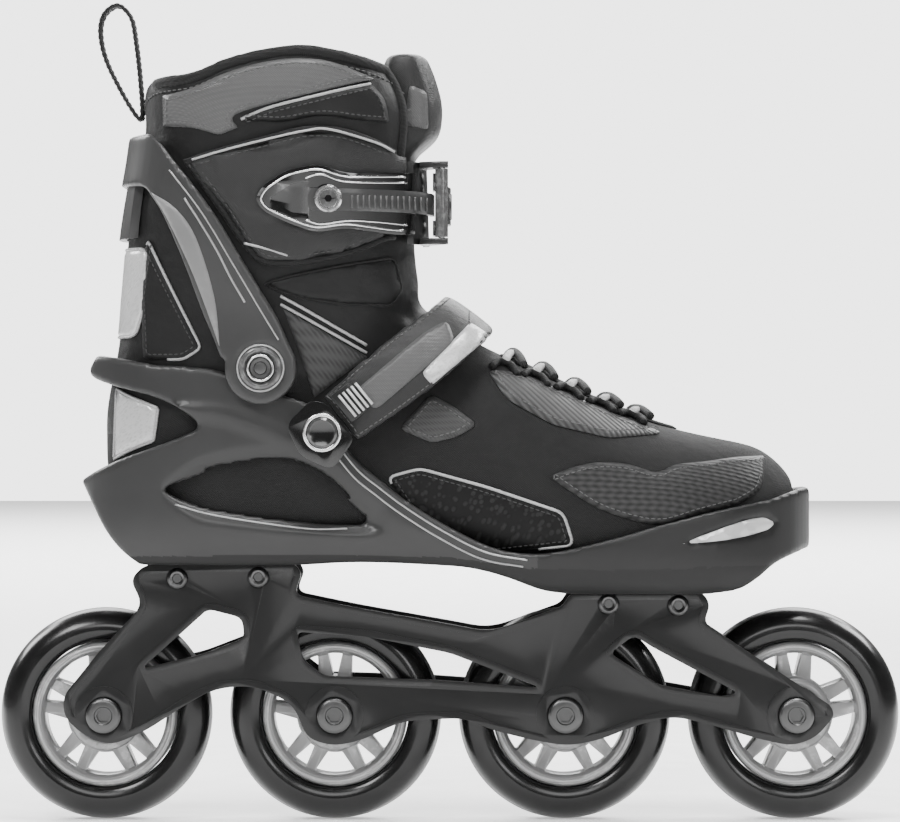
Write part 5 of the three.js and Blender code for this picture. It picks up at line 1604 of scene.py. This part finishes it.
@dataclass
class Cuff:
    """The rigid cuff with its arms, the pivots and the rear tab."""

    wall: float = 4.0
    voxel: float = 1.1

    def outline(self) -> np.ndarray:
        """The cuff's edge as seen from the side."""
        rear = [(-89, 92), (-92.5, 101), (-96.5, 110.5), (-103, 128), (-111.5, 147.5), (-119, 159)]
        front = [(-117.5, 180), (-112, 175), (-107, 168.5), (-99, 158.5), (-91, 147.5), (-84, 136), (-78, 126)]
        front += [(-72, 116), (-67, 107.5), (-60, 92)]
        return strokes(rear, [(-119, 159), (-140, 161)], [(-140, 161), (-140, 178.5)], [(-140, 178.5), (-117.5, 180)],
                       front, [(-60, 92), (-89, 92)], steps=5)

    def build(self) -> None:
        """Makes the cuff and everything rigid on it."""
        cuff = upright_form("cuff_detail", CUFF, self.wall)
        cut(cuff, slab(self.outline()), operation="INTERSECT")
        cut(cuff, upright_form("inside", CUFF, 0))
        for side in (OUTER, INNER):
            room = span(side, CUFF_INSIDE, CUFF_INSIDE + self.wall)
            cut(cuff, prism("lobe", circle((PIVOT[0], PIVOT[2]), 14, 64), *room), operation="UNION")
        for side in (OUTER, INNER):
            room = span(side, CUFF_INSIDE + self.wall - 1.1, 80)
            ring = prism("ring", circle((PIVOT[0], PIVOT[2]), 9.2, 48), *room)
            drill(ring, PIVOT, 6.4, 48)
            cut(cuff, ring)
        drill(cuff, PIVOT, 3.6)
        softened(cuff, self.voxel, 4)
        place(cuff, "cuff", "cuff_plastic", Finish.CUFF, ["cuff"])
        for side, name in SIDES:
            skin = Skin(cuff, side)
            # Painted highlights: a silver line down the middle of the arm, one along its front edge, and a paler strip
            # on the rear bevel.
            middle_highlight = through([(-103, 154), (-96.5, 144), (-90, 133), (-85, 123), (-79.5, 113.5)], steps=6)
            edge = through([(-63.5, 100), (-69, 109), (-80, 127.5), (-93, 149), (-106, 166)], steps=6)
            bevel_highlight = strokes([(-116.3, 156.5), (-109.6, 145.5), (-100.8, 127), (-94.4, 110.5), (-89.3, 96)],
                            [(-89.3, 96), (-91.5, 116), (-98.5, 138.5), (-106.5, 150), (-116.3, 156.5)], steps=5)
            lines = [skin.cord(middle_highlight, 0.45, Finish.SILVER_AND_HIGHLIGHT, 0.05),
                     skin.cord(edge + np.array([-3.0, -1.0]), 0.35, Finish.SILVER_AND_HIGHLIGHT, 0.05),
                     dress(skin.panel("bevel_highlight", rel(bevel_highlight), -0.1, 0.6, 1.5), Finish.BEVEL)]
            place(join(f"cuff_highlights_{name}", lines), "cuff", "cuff_plastic")
            self.pivot(side, name)
        self.rear_tab()

    def pivot(self, side: int, name: str) -> None:
        """One pivot bolt with a ringed head, and round it on the lobe a dark ring and a pale ring that paints a
        highlight.
        """
        seat = CUFF_INSIDE + self.wall + 0.3
        profile = [(0, 37.3), (3.1, 37.3), (3.1, seat), (5.0, seat), (5.4, seat + 0.4), (5.2, seat + 1.2)]
        profile += [(4.3, seat + 1.5), (3.9, seat + 0.9), (2.6, seat + 0.8), (2.3, seat + 1.5), (0, seat + 1.8)]
        piece = revolve(f"pivot_bolt_{name}", profile, PIVOT, 64, side)
        place(shaded(piece), "chassis", "axle_steel", Finish.SHIELD, [f"cuff_pivot_{name}"])
        ring = [(4.4, seat + 1.0), (4.6, seat + 1.7), (5.2, seat + 1.7), (5.5, seat + 1.0), (4.4, seat + 1.0)]
        ring_piece = revolve(f"pivot_ring_{name}", ring, PIVOT, 64, side)
        place(ring_piece, "chassis", "axle_steel", Finish.CHROME_AND_HIGHLIGHT)
        dark = [(5.7, seat - 0.6), (5.7, seat + 0.15), (8.5, seat + 0.15), (8.5, seat - 0.6), (5.7, seat - 0.6)]
        # The pale ring is a painted highlight round the lobe's recess.
        light = [(8.6, seat - 0.6), (8.7, seat + 0.4), (9.2, seat + 0.4), (9.4, seat - 0.6), (8.6, seat - 0.6)]
        rings = [dress(revolve("ring", form, PIVOT, 64, side), finish)
                 for form, finish in ((dark, Finish.GLOSS), (light, Finish.PIPING_AND_HIGHLIGHT))]
        place(join(f"lobe_rings_and_highlight_{name}", rings), "cuff", "cuff_plastic")

    def rear_tab(self) -> None:
        """The small tab behind the calf."""
        tab = leg_form(3.2)
        outline = [(-140, 161), (-119, 161), (-116, 154.5), (-113.5, 149), (-110.5, 140), (-140, 138.5)]
        cut(tab, slab(rounded(outline, 2.5), 0, -24, 24), operation="INTERSECT")
        cut(tab, leg_form(0.4))
        tab.name = "rear_tab_detail"
        place(bevelled(tab, 0.9, 3), "cuff", "cuff_plastic", Finish.CUFF, ["rear_tab"])


@dataclass
class WrapFlaps:
    """The padded flaps that the top buckle draws round the leg."""

    thickness: float = 3.0

    def outline(self, edge: float = 0.0) -> np.ndarray:
        """The flap's outline as seen from the side."""
        top = [(-104.5, 169), (-96, 171.8), (-88, 174), (-70.5, 178.5), (-58, 181.6), (-49, 182), (-40, 181), (-29, 177.5)]
        top += [(-18, 172.5), (0, 167)]
        low = [(0, 137.5), (-12, 137.5), (-22.5, 138), (-33, 133.8), (-43, 130.3), (-56, 128), (-68.5, 127.3), (-76, 129.5)]
        return inset(strokes(top, [(0, 167), (0, 137.5)], low, [(-76, 129.5), (-83, 138.5), (-89.3, 148)],
                             [(-89.3, 148), (-104.5, 169)], steps=5), edge)

    def border(self, edge: float) -> np.ndarray:
        """The flap's edge behind the tongue's slot, as an open line above the ground."""
        line = resample(rel(self.outline(edge)), 1.5, closed=True)
        first = int(np.argmax(line[:, 0]))
        line = np.roll(line, -first, axis=0)
        return line[line[:, 0] < -20]

    def flap(self, side: int) -> Obj:
        """One flap, puffed out by its padding."""
        name = "outer" if side < 0 else "inner"
        piece = leg_form(self.thickness - 0.1)
        cut(piece, slab(self.outline(0.6), 0, *span(side, 25, 90)), operation="INTERSECT")
        cut(piece, leg_form(0.7))
        piece.name = f"wrap_flap_{name}"
        inflate(piece, 2.2, 0.9)
        return piece

    def build(self) -> None:
        """Makes both flaps with their seams and a painted highlight line."""
        for side, name in SIDES:
            piece = self.flap(side)
            face = leg_form(self.thickness)
            skin = Skin(face, side)
            discard(face)
            seams = [beads("stitches", [skin.line(self.border(4.0), 0.25, 1.5)], Finish.DARK_THREAD, 2.6, 1.9, 0.28)]
            crest = [(-100, 169), (-88, 172.4), (-70.5, 176.8), (-56, 180), (-47, 180.6), (-29, 175.8), (-22, 172.5)]
            seams.append(skin.cord(through(crest, steps=6), 0.5, Finish.PIPING_AND_HIGHLIGHT, 0.35))
            # A silver line across the flap's lower front: a painted highlight.
            gleam = through([(-80, 136.5), (-72, 134.6), (-63, 131.8)], steps=6)
            seams.append(skin.cord(gleam, 0.6, Finish.SILVER_AND_HIGHLIGHT, 0.2, 1.2))
            place(piece, "cuff", "padding_textile", Finish.PAD, [f"cuff_flap_{name}"], padded=0.7)
            welt = dress(tube("welt", skin.line(self.border(1.4), -0.9, 1.5), 1.3, 8), Finish.BINDING)
            place(join(f"flap_seams_and_highlight_{name}", [*seams, welt]), "cuff", "padding_textile")


def inflate(piece: Obj, voxel: float, most: float, pressure: float = 4.0, frames: int = 20) -> Obj:
    """Swells a padded piece by a short cloth simulation on an even mesh, with its movement capped.

    Args:
        piece: the closed form to fill out, a little small.
        voxel: the size of the even mesh, in millimetres.
        most: the furthest that a point may move, in millimetres.
        pressure: how hard the filling presses.
        frames: how long the simulation runs.
    """
    modify(piece, "REMESH", mode="VOXEL", voxel_size=voxel * MM)
    modify(piece, "SMOOTH", factor=0.5, iterations=3)
    rest = read_points(piece)
    cloth = piece.modifiers.new("cloth", "CLOTH")
    cloth.settings.use_pressure = True
    cloth.settings.uniform_pressure_force = pressure
    cloth.settings.effector_weights.gravity = 0
    cloth.settings.quality = 4
    cloth.collision_settings.use_collision = False
    for step in range(1, frames + 1):
        bpy.context.scene.frame_set(step)
    bake(piece)
    bpy.context.scene.frame_set(1)
    shift = read_points(piece) - rest
    length = np.linalg.norm(shift, axis=1)[:, None] + 1e-12
    shift *= np.minimum(1.0, most * MM / length)
    piece.data.vertices.foreach_set("co", (rest + shift).ravel())
    return smoothed(modify(piece, "SUBSURF", levels=1, render_levels=1))


@dataclass
class TopBuckle:
    """The ratchet buckle: bezel, ladder strap, screw, frame, lever and release tab."""

    inner: float = 3.7
    plate: float = 2.0

    def layer(self, name: str, low: float, high: float, outline: np.ndarray, y_low: float, y_high: float) -> Obj:
        """A layer on the leg between two heights above it, cut to an outline."""
        piece = leg_form(high)
        piece.name = name
        cut(piece, slab(outline, 0, y_low, y_high), operation="INTERSECT")
        cut(piece, leg_form(low))
        return piece

    def build(self) -> None:
        """Makes the buckle."""
        top = self.inner + self.plate
        edge = rounded([(-75.5, 153.5), (-72.5, 158.5), (-63.5, 164.5), (-51, 167), (-40.5, 163.5), (0, 165), (0, 142),
                        (-21, 140), (-40.5, 142.5), (-52, 140.5), (-63.5, 144.5), (-72.5, 149)], 4, 4)
        bezel = self.layer("bezel_detail", self.inner, top, edge, -90, -25.3)
        recess = rounded([(-70, 153.5), (-62, 159), (-55, 160.5), (-55, 146.5), (-62, 148)], 1.5, 3)
        pocket = self.layer("pocket", top - 1.0, top + 4, recess, -90, -25)
        cut(bezel, pocket)
        place(bevelled(bezel, 0.8, 3), "cuff", "gloss_trim", Finish.GLOSS, ["buckle_bezel"])
        skin_form = leg_form(top)
        skin = Skin(skin_form, OUTER)
        # Painted highlights: chrome lines along the bezel's border and along the top and bottom of the ladder strap.
        ring = resample(inset(edge, 1.6), 1.5, closed=True)
        ring = np.roll(ring, -int(np.argmax(ring[:, 0])), axis=0)
        lines = [ring[ring[:, 0] < -17]]
        lines.append(through([(-56, 145.5), (-50, 143.8), (-40, 145.2), (-30, 145), (-17, 144)], steps=5))
        lines.append(through([(-56, 161.5), (-50, 163), (-42, 160.4), (-30, 160), (-17, 160.5)], steps=5))
        rim = join("bezel_highlights", [skin.cord(line, 0.5, Finish.CHROME_AND_HIGHLIGHT, 0.02) for line in lines])
        discard(skin_form)
        place(rim, "cuff", "gloss_trim")
        self.ladder(top)
        self.front()

    def ladder(self, top: float) -> None:
        """The toothed ladder strap and its ringed screw."""
        z, half = 152.5, 4.25
        outline = rounded([(-55, z + 1 - half), (20, z - half), (20, z + half), (-55, z + 1 + half)], 2, 3)
        strap = self.layer("ladder_detail", top + 0.3, top + 2.2, outline, -90, -2)
        bevelled(strap, 0.4, 2)
        skin = Skin(strap, OUTER)
        teeth = []
        for x in np.arange(-38, -8, 2.2):
            line = [skin.on((x, SOLE_Z + h), 0.15) for h in (z - 2.6, z, z + 2.6)]
            if all(p is not None for p in line):
                teeth.append(tube("tooth", np.array(line), 0.45, 6))
        strap = join("ladder_strap_detail", [strap, *teeth])
        place(strap, "cuff", "cuff_plastic", Finish.CUFF, ["ladder_strap"])
        middle, seat = (-47.0, 0.0, 153.5 + SOLE_Z), COLLAR_HALF + 6.4
        profile = [(0, 44.6 - 1.2), (2.4, 44.6 - 1.2), (2.4, seat), (5.3, seat), (5.3, seat + 0.7), (4.6, seat + 1.5)]
        profile += [(3.9, seat + 1.5), (3.6, seat + 0.9), (0, seat + 0.9)]
        screw = revolve("ladder_screw_detail", profile, middle, 56, OUTER)
        drill(screw, middle, 1.8, 6, -seat - 3, -seat - 0.2)
        dress(screw, Finish.CHROME_AND_HIGHLIGHT)
        disc = [(0, seat + 0.3), (3.4, seat + 0.3), (3.4, seat + 1.0), (0, seat + 1.2)]
        face = drill(revolve("face", disc, middle, 48, OUTER), middle, 1.5, 6, -seat - 3, -seat - 0.7)
        screw = join("ladder_screw_detail", [screw, dress(face, Finish.GLOSS)])
        place(shaded(screw), "cuff", "axle_steel", None, ["ladder_screw"])

    def upright_block(self, name: str, outline: Sequence[Point], low: float, high: float, radius: float) -> Obj:
        """A block drawn in X and Y, standing between two heights above the sole, its corners rounded."""
        ring = rounded(outline, radius, 4)
        levels = [[[x, y, z + SOLE_Z] for x, y in ring] for z in (low, high)]
        return loft(name, levels)

    def front(self) -> None:
        """The lever, the release tab with its grip ribs, the frame, the cheeks and the pin at the front."""
        low, high = box_mm("buckle_lever")[:, 2] - SOLE_Z
        x_back = float(box_mm("buckle_lever")[1][0]) - 2.2
        pin = joint_place("buckle_lever_lift")
        grip = [(x_back - 2.0, pin[1]), (x_back + 2.15, pin[1]), (x_back + 2.15, 1.8), (x_back, 2), (x_back, pin[1] + 3)]
        lever = self.upright_block("lever", grip, low + 0.3, high - 0.3, 0.8)
        knuckle = self.upright_block("knuckle", circle((pin[0], pin[1]), 2.55, 24).tolist(), low + 0.1, high - 0.1, 0)
        for piece in (knuckle, lever):
            cut(piece, self.upright_block("bore", circle((pin[0], pin[1]), 1.55, 20).tolist(), low - 2, high + 2, 0))
        lever = join("buckle_lever_detail", [bevelled(lever, 0.6, 3), shaded(knuckle)])
        place(lever, "lever", "buckle_plastic", Finish.GLOSS, ["buckle_lever"])
        tab_low, tab_high = box_mm("release_tab")
        front = float(tab_low[0])
        tab = self.upright_block(
            "tab", [(front, -13), (front + 1.2, -13), (front + 2.3, -2), (front + 2.0, 3.3), (front, 3.3)],
            float(tab_low[2]) - SOLE_Z, float(tab_high[2]) - SOLE_Z, 0.6)
        bevelled(tab, 0.5, 3)
        ribs = []
        for y in np.arange(-9.5, 1.5, 2.0):
            x = front + np.interp(y, [-13, -2, 3.3], [1.2, 2.3, 2.0])
            path = np.array([(x, y, z + SOLE_Z) for z in (147.5, 152.5, 157.5)])
            ribs.append(tube("rib", path, 0.4, 6))
        place(join("release_tab_detail", [tab, *ribs]), "release", "gloss_trim", Finish.FRAME, ["release_tab"])
        body = copy_of(frame["nodes"]["buckle_frame"], "buckle_frame_detail")
        body.parent = None
        tidy(body, 1e-5)
        for key in [key for key in body.keys() if key.startswith("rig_")]:
            del body[key]
        place(bevelled(body, 0.45, 2), "cuff", "buckle_plastic", Finish.FRAME, ["buckle_frame"])
        behind, ahead = x_back - 3.9, x_back - 0.7
        square = [(behind, -14), (ahead, -14), (ahead, -2), (behind, -2)]
        cheeks = [self.upright_block("cheek", square, *heights, 0.5)
                  for heights in ((low + 1.2, 146.6), (158.4, high - 1.2))]
        place(join("buckle_cheeks", cheeks), "cuff", "buckle_plastic", Finish.GLOSS)
        dress(frame["nodes"]["lever_pin"], Finish.STEEL)


@dataclass
class InstepStrap:
    """The 45 degree strap: padded band, clip plate with its button, and the toothed end."""

    thickness: float = 4.0

    def outline(self, edge: float = 0.0) -> np.ndarray:
        """The band's outline as seen from the side."""
        upper = [(-50, 77), (-46, 81), (-38.5, 88.3), (-23, 101), (-7, 113.2), (2, 121.5)]
        lower = [(22, 106), (15.5, 99.5), (6, 90.5), (-3.5, 82), (-16, 72.5), (-28, 64.2), (-36, 58.8)]
        return inset(strokes(upper, [(2, 121.5), (22, 106)], lower, [(-36, 58.8), (-50, 77)], steps=5), edge)

    def form(self, extra: float) -> Obj:
        """The strap's path over the instep."""
        return lying_form("strap_form", STRAP_ROOM, extra, (4, 3), 70, 96)

    def build(self) -> None:
        """Makes the band and what is fixed to it."""
        band = self.form(self.thickness - 0.6)
        cut(band, slab(self.outline(0.5)), operation="INTERSECT")
        cut(band, self.form(0.3))
        band.name = "instep_band"
        inflate(band, 1.8, 0.6)
        skins = {side: Skin(band, side) for side in (OUTER, INNER)}
        place(band, "chassis", "webbing", Finish.PAD, ["instep_strap"], padded=0.7)
        for side, name in SIDES:
            pieces = []
            border = resample(rel(self.outline(2.6)), 1.2, closed=True)
            border = border[border[:, 0] < 8]
            line = skins[side].line(border, 0.1, 1.2)
            gaps = np.linalg.norm(np.diff(line, axis=0), axis=1)
            for part in np.split(line, np.where(gaps > 8)[0] + 1):
                if len(part) > 5:
                    pieces.append(beads("stitches", [part], Finish.THREAD, 2.2, 1.7, 0.28))
            inset_panel = rel(rounded([(-37, 79), (-10, 102), (-1, 107), (2, 98), (-12, 86), (-29, 71.5)], 3))
            pieces.append(dress(skins[side].panel("panel", inset_panel, 0.05, 0.6, 1.6), Finish.COLLAR))
            silver = rel(rounded([(-11, 86), (8, 106), (15.5, 101), (10, 96), (-7, 81.5)], 1.5))
            pieces.append(dress(skins[side].panel("panel", silver, 0.05, 0.6, 1.6), Finish.REFLECTOR))
            place(join(f"instep_trim_{name}", pieces), "chassis", "webbing")
        self.clip()

    def clip(self) -> None:
        """The clip plate, its foot, the button and the toothed end."""
        near = STRAP_INSIDE + self.thickness + 0.6
        outline = rounded([(-63.5, 66), (-54, 75.5), (-48, 74.5), (-36.5, 61), (-45.5, 48.5), (-58, 54)], 4, 5)
        plate = prism("clip", outline, -near - 3.4, -near, SOLE_Z)
        foot = prism("foot", rounded([(-58, 57), (-54, 61), (-45, 52.5), (-48, 50)], 1), -near - 0.5,
                     -ANKLE_HALF - SHELL_WALL - 0.9, SOLE_Z)
        low, high = box_mm("instep_button")
        centre = ((low[0] + high[0]) / 2, 0.0, (low[2] + high[2]) / 2)
        cut(plate, foot, operation="UNION")
        drill(plate, centre, 6.5, 48, -90, -near + 2.6)
        plate.name = "clip_detail"
        place(bevelled(plate, 1.2, 4), "chassis", "buckle_plastic", Finish.GLOSS, ["instep_clip"])
        ring = [(5.9, near + 3.3), (6.3, near + 3.9), (7.3, near + 3.9), (7.7, near + 3.3), (5.9, near + 3.3)]
        place(revolve("button_ring", ring, centre, 64, OUTER), "chassis", "buckle_plastic", Finish.CHROME_AND_HIGHLIGHT)
        face, back = -low[1], -high[1]
        profile = [(0, back), (5.4, back), (5.9, back - 0.5), (5.9, face - 0.9), (5.0, face), (3.5, face - 0.4)]
        cap = revolve("button_detail", [*profile, (0, face - 0.9)], centre, 56, OUTER)
        place(shaded(cap), "button", "gloss_trim", Finish.GLOSS, ["instep_button"])
        base = STRAP_INSIDE + self.thickness + 0.35
        blade = prism("blade", rel(rounded([(-46.5, 77.2), (-38, 66.8), (-32, 72), (-39, 82.5)], 1)), -base - 1.2, -base)
        teeth = [dress(bevelled(blade, 0.3), Finish.FRAME)]
        along, across = np.array([8.0, 6.0]) / 10, np.array([8.5, -10.4]) / 13.4
        for step in range(5):
            start = np.array([-44.2, 77.2]) + along * (1.0 + 2.0 * step)
            line = [start + across * reach for reach in (0.5, 6, 11.0)]
            points = np.array([[p[0], -base - 1.3, p[1] + SOLE_Z] for p in line])
            teeth.append(dress(tube("tooth", points, 0.6, 6), Finish.INSERT))
        place(join("instep_ladder_detail", teeth), "chassis", "webbing", None, ["instep_ladder"])


@dataclass
class Lacing:
    """The laces over the vamp, their loops and the throat under them."""

    boot: PaddedBoot

    def build(self) -> None:
        """Makes the throat, the loops and the laces on the top of the foot."""
        skin = Skin(self.boot.outside, 1, 2)
        throat = rounded([(20, -13), (84, -9), (92, 0), (84, 9), (20, 13)], 5)
        pad = dress(skin.panel("throat_panel", throat, 0.05, 1.0, 2.2), Finish.VAMP)
        place(pad, "chassis", "boot_textile")
        loops, silver, dark = [], [], []
        for i, x in enumerate((20, 32, 45, 58, 70)):
            half = 19.5 - 1.0 * i
            for side in (-1, 1):
                ends, turn = side * (half + 5), side * half
                bow = through([(x - 4, ends), (x - 1, turn), (x + 3.5, turn), (x + 6, ends)], steps=6)
                loops.append(tube("loop", skin.line(bow, 1.4, 1.0), 1.5, 8))
            for laces, way, lift, radius in ((silver, half, 2.3, 1.7), (dark, -half, 3.4, 1.6)):
                run = through([(x + 1, -way), (x + 3.0, -way * 0.4), (x + 5.5, way * 0.4), (x + 8, way)], steps=6)
                laces.append(tube("lace", skin.line(run, lift, 1.2), radius, 10))
        place(join("laces_light", silver), "chassis", "lace_textile", Finish.LACE, ["laces"])
        place(join("laces_dark", dark), "chassis", "lace_textile", Finish.DARK_LACE)
        place(join("lace_loops", loops), "chassis", "lace_textile", Finish.BINDING)


@dataclass
class Tongue:
    """The padded tongue that stands above the collar."""

    half: float = 21.0

    def build(self) -> None:
        """Makes the tongue and the patch on its front."""
        table = [(138, -20.4, -16.3), (170, -22, -15.4), (181, -24.5, -4.8), (190, -26, -3.6), (200, -26.5, -5.2),
                 (208, -26, -7.6), (212.5, -24.5, -9.5)]
        rings = []
        unit = superellipse(48, 3.0)
        for z, back, front in smooth_rows(table, np.linspace(table[0][0], table[-1][0], 40)):
            wide = self.half - 1.0 - 2.0 * max(0.0, (z - 204) / 9) ** 2
            ring = []
            for u, v in unit:
                y = wide * v
                bow = -2.2 * (y / self.half) ** 2 if z > 172 else -1.2 * (y / self.half) ** 2
                ring.append([(back + front) / 2 + (front - back) / 2 * u + bow, y, z + SOLE_Z])
            rings.append(ring)
        piece = loft("tongue_detail", rings)
        inflate(piece, 2.2, 0.9)
        self.patch(piece)
        place(piece, "cuff", "padding_textile", Finish.PAD, ["tongue"], padded=0.8)

    def patch(self, piece: Obj) -> None:
        """The light band on the tongue's front edge."""
        for side, name in SIDES:
            skin = Skin(piece, side)
            band = skin.panel("band", rel(rounded([(-18, 184), (-8.5, 182), (-9, 197), (-16, 200)], 2)), 0.0, 0.7, 1.5)
            place(dress(band, Finish.COLLAR), "cuff", "padding_textile")
            band.name = f"tongue_band_{name}"


@dataclass
class PullLoop:
    """The webbing loop at the back of the collar."""

    width: float = 10.0
    thickness: float = 1.3

    def build(self) -> None:
        """Makes the loop with its two rows of stitches."""
        points = [(-122.6, 188), (-123, 201), (-125, 219), (-127, 228), (-132, 232.6), (-137.5, 229), (-139, 221)]
        points += [(-136, 209), (-127, 192)]
        line = through(points, closed=True, steps=12)
        ahead = np.roll(line, -1, axis=0) - np.roll(line, 1, axis=0)
        ahead /= np.linalg.norm(ahead, axis=1)[:, None]
        normal = np.column_stack([ahead[:, 1], -ahead[:, 0]])
        verts, faces = [], []
        w, t = self.width / 2, self.thickness / 2
        lower = [(-w, -t * 0.6), (-w + 0.6, -t), (w - 0.6, -t), (w, -t * 0.6)]
        section = [*lower, *[(-a, -b) for a, b in lower]]
        for point, side in zip(line, normal):
            verts += [[point[0] + side[0] * r, y, point[1] + side[1] * r + SOLE_Z] for y, r in section]
        count, size = len(line), len(section)
        for i in range(count):
            for k in range(size):
                a, b = i * size + k, i * size + (k + 1) % size
                c, d = ((i + 1) % count) * size + (k + 1) % size, ((i + 1) % count) * size + k
                faces.append([a, b, c, d])
        loop = make_object("loop", verts, faces)
        seams = []
        for y in (-w + 1.4, w - 1.4):
            for r in (t + 0.05, -t - 0.05):
                row = [[p[0] + n[0] * r, y, p[1] + n[1] * r + SOLE_Z] for p, n in zip(line, normal)]
                seams.append(np.array(row + row[:1]))
        stitches = beads("stitches", seams, Finish.THREAD, 2.4, 1.8, 0.25)
        loop = join("pull_loop_detail", [dress(shaded(loop), Finish.WEBBING), stitches])
        place(loop, "cuff", "webbing", None, ["pull_loop"])


@dataclass
class Studio:
    """The pale floor and backdrop, the soft lights and the level camera from the outer side."""

    distance: float = 1.7
    height: float = 0.162
    across: float = 0.3583
    fill: float = 0.16
    seen: float = 3.6

    def build(self) -> None:
        """Sets the stage."""
        self.camera()
        self.floor()
        for name, spot, size, power, aim in (
            ("key", (-0.75, -0.9, 1.25), 0.45, 17, (0, 0, 0.15)),
            ("front", (0.7, -1.3, 0.5), 0.35, 4, (0.05, 0, 0.16)),
            ("rim", (0.9, 0.5, 0.9), 0.5, 16, (0, 0, 0.18)),
            ("top", (0.1, -0.25, 1.3), 0.5, 20, (0, 0, 0.1)),
            ("back", (-1.0, 0.6, 0.8), 0.5, 14, (0, 0, 0.18)),
            ("far_floor", (0.0, 3.0, 1.6), 3.0, 260, (0, 3.0, 0)),
            ("near_floor", (0.0, -2.6, 1.6), 1.6, 60, (0, -2.6, 0)),
        ):
            self.light(name, spot, size, power, aim)
        self.surround()

    def surround(self) -> None:
        """A plain white surround that itself lights the skate only a little."""
        world = bpy.data.worlds.new("studio")
        world.use_nodes = True
        tree = world.node_tree
        fill = tree.nodes["Background"]
        fill.inputs["Strength"].default_value = self.fill
        seen = tree.nodes.new("ShaderNodeBackground")
        seen.inputs["Strength"].default_value = self.seen
        for background in (fill, seen):
            background.inputs["Color"].default_value = (1, 1, 1, 1)
        path, mix = tree.nodes.new("ShaderNodeLightPath"), tree.nodes.new("ShaderNodeMixShader")
        tree.links.new(path.outputs["Is Camera Ray"], mix.inputs[0])
        tree.links.new(fill.outputs[0], mix.inputs[1])
        tree.links.new(seen.outputs[0], mix.inputs[2])
        tree.links.new(mix.outputs[0], tree.nodes["World Output"].inputs["Surface"])
        bpy.context.scene.world = world

    def camera(self) -> None:
        """A level camera square to the skate's outer side."""
        data = bpy.data.cameras.new("camera")
        data.sensor_width = 36
        data.lens = 36 * self.distance / self.across
        data.clip_start, data.clip_end = 0.05, 20
        holder = add_object("camera", data)
        holder.location = (0, -self.distance, self.height)
        holder.rotation_euler = (math.pi / 2, 0, 0)
        bpy.context.scene.camera = holder

    def light(self, name: str, spot: Sequence[float], size: float, power: float, aim: Sequence[float]) -> None:
        """One square soft light turned to a point."""
        data = bpy.data.lights.new(name, "AREA")
        data.energy, data.size = power, size
        lamp = add_object(name, data)
        lamp.location = spot
        lamp.rotation_euler = (Vector(aim) - Vector(spot)).to_track_quat("-Z", "Y").to_euler()

    def floor(self) -> None:
        """A plain pale floor."""
        verts = np.array([(-6, -6, 0), (6, -6, 0), (6, 6, 0), (-6, 6, 0)]) / MM
        floor = make_object("floor", verts, [[0, 1, 2, 3]])
        dress(floor, Finish.FLOOR)


def dress_hidden() -> None:
    """Dresses the CAD nodes that are kept as they are."""
    finishes = {"bearing_spacer": Finish.STEEL, "bearing": Finish.SHIELD, "frame_bolt": Finish.STEEL,
                "mount_block": Finish.FRAME, "insole": Finish.LINING}
    for name, node in frame["nodes"].items():
        for part, finish in finishes.items():
            if part in name:
                dress(node, finish)
                break


def main() -> None:
    """Builds the skate piece by piece."""
    logging.basicConfig(level=logging.INFO, format="%(name)s %(message)s")
    Studio().build()
    dress_hidden()
    Wheels().build()
    PlateFrame().build()
    AxleBolts().build()
    LowerShell().build()
    boot = PaddedBoot()
    boot.build()
    UpperPanels(boot).build()
    Lacing(boot).build()
    Cuff().build()
    WrapFlaps().build()
    TopBuckle().build()
    InstepStrap().build()
    Tongue().build()
    PullLoop().build()
    discard(boot.outside)


if __name__ == "__main__":
    main()
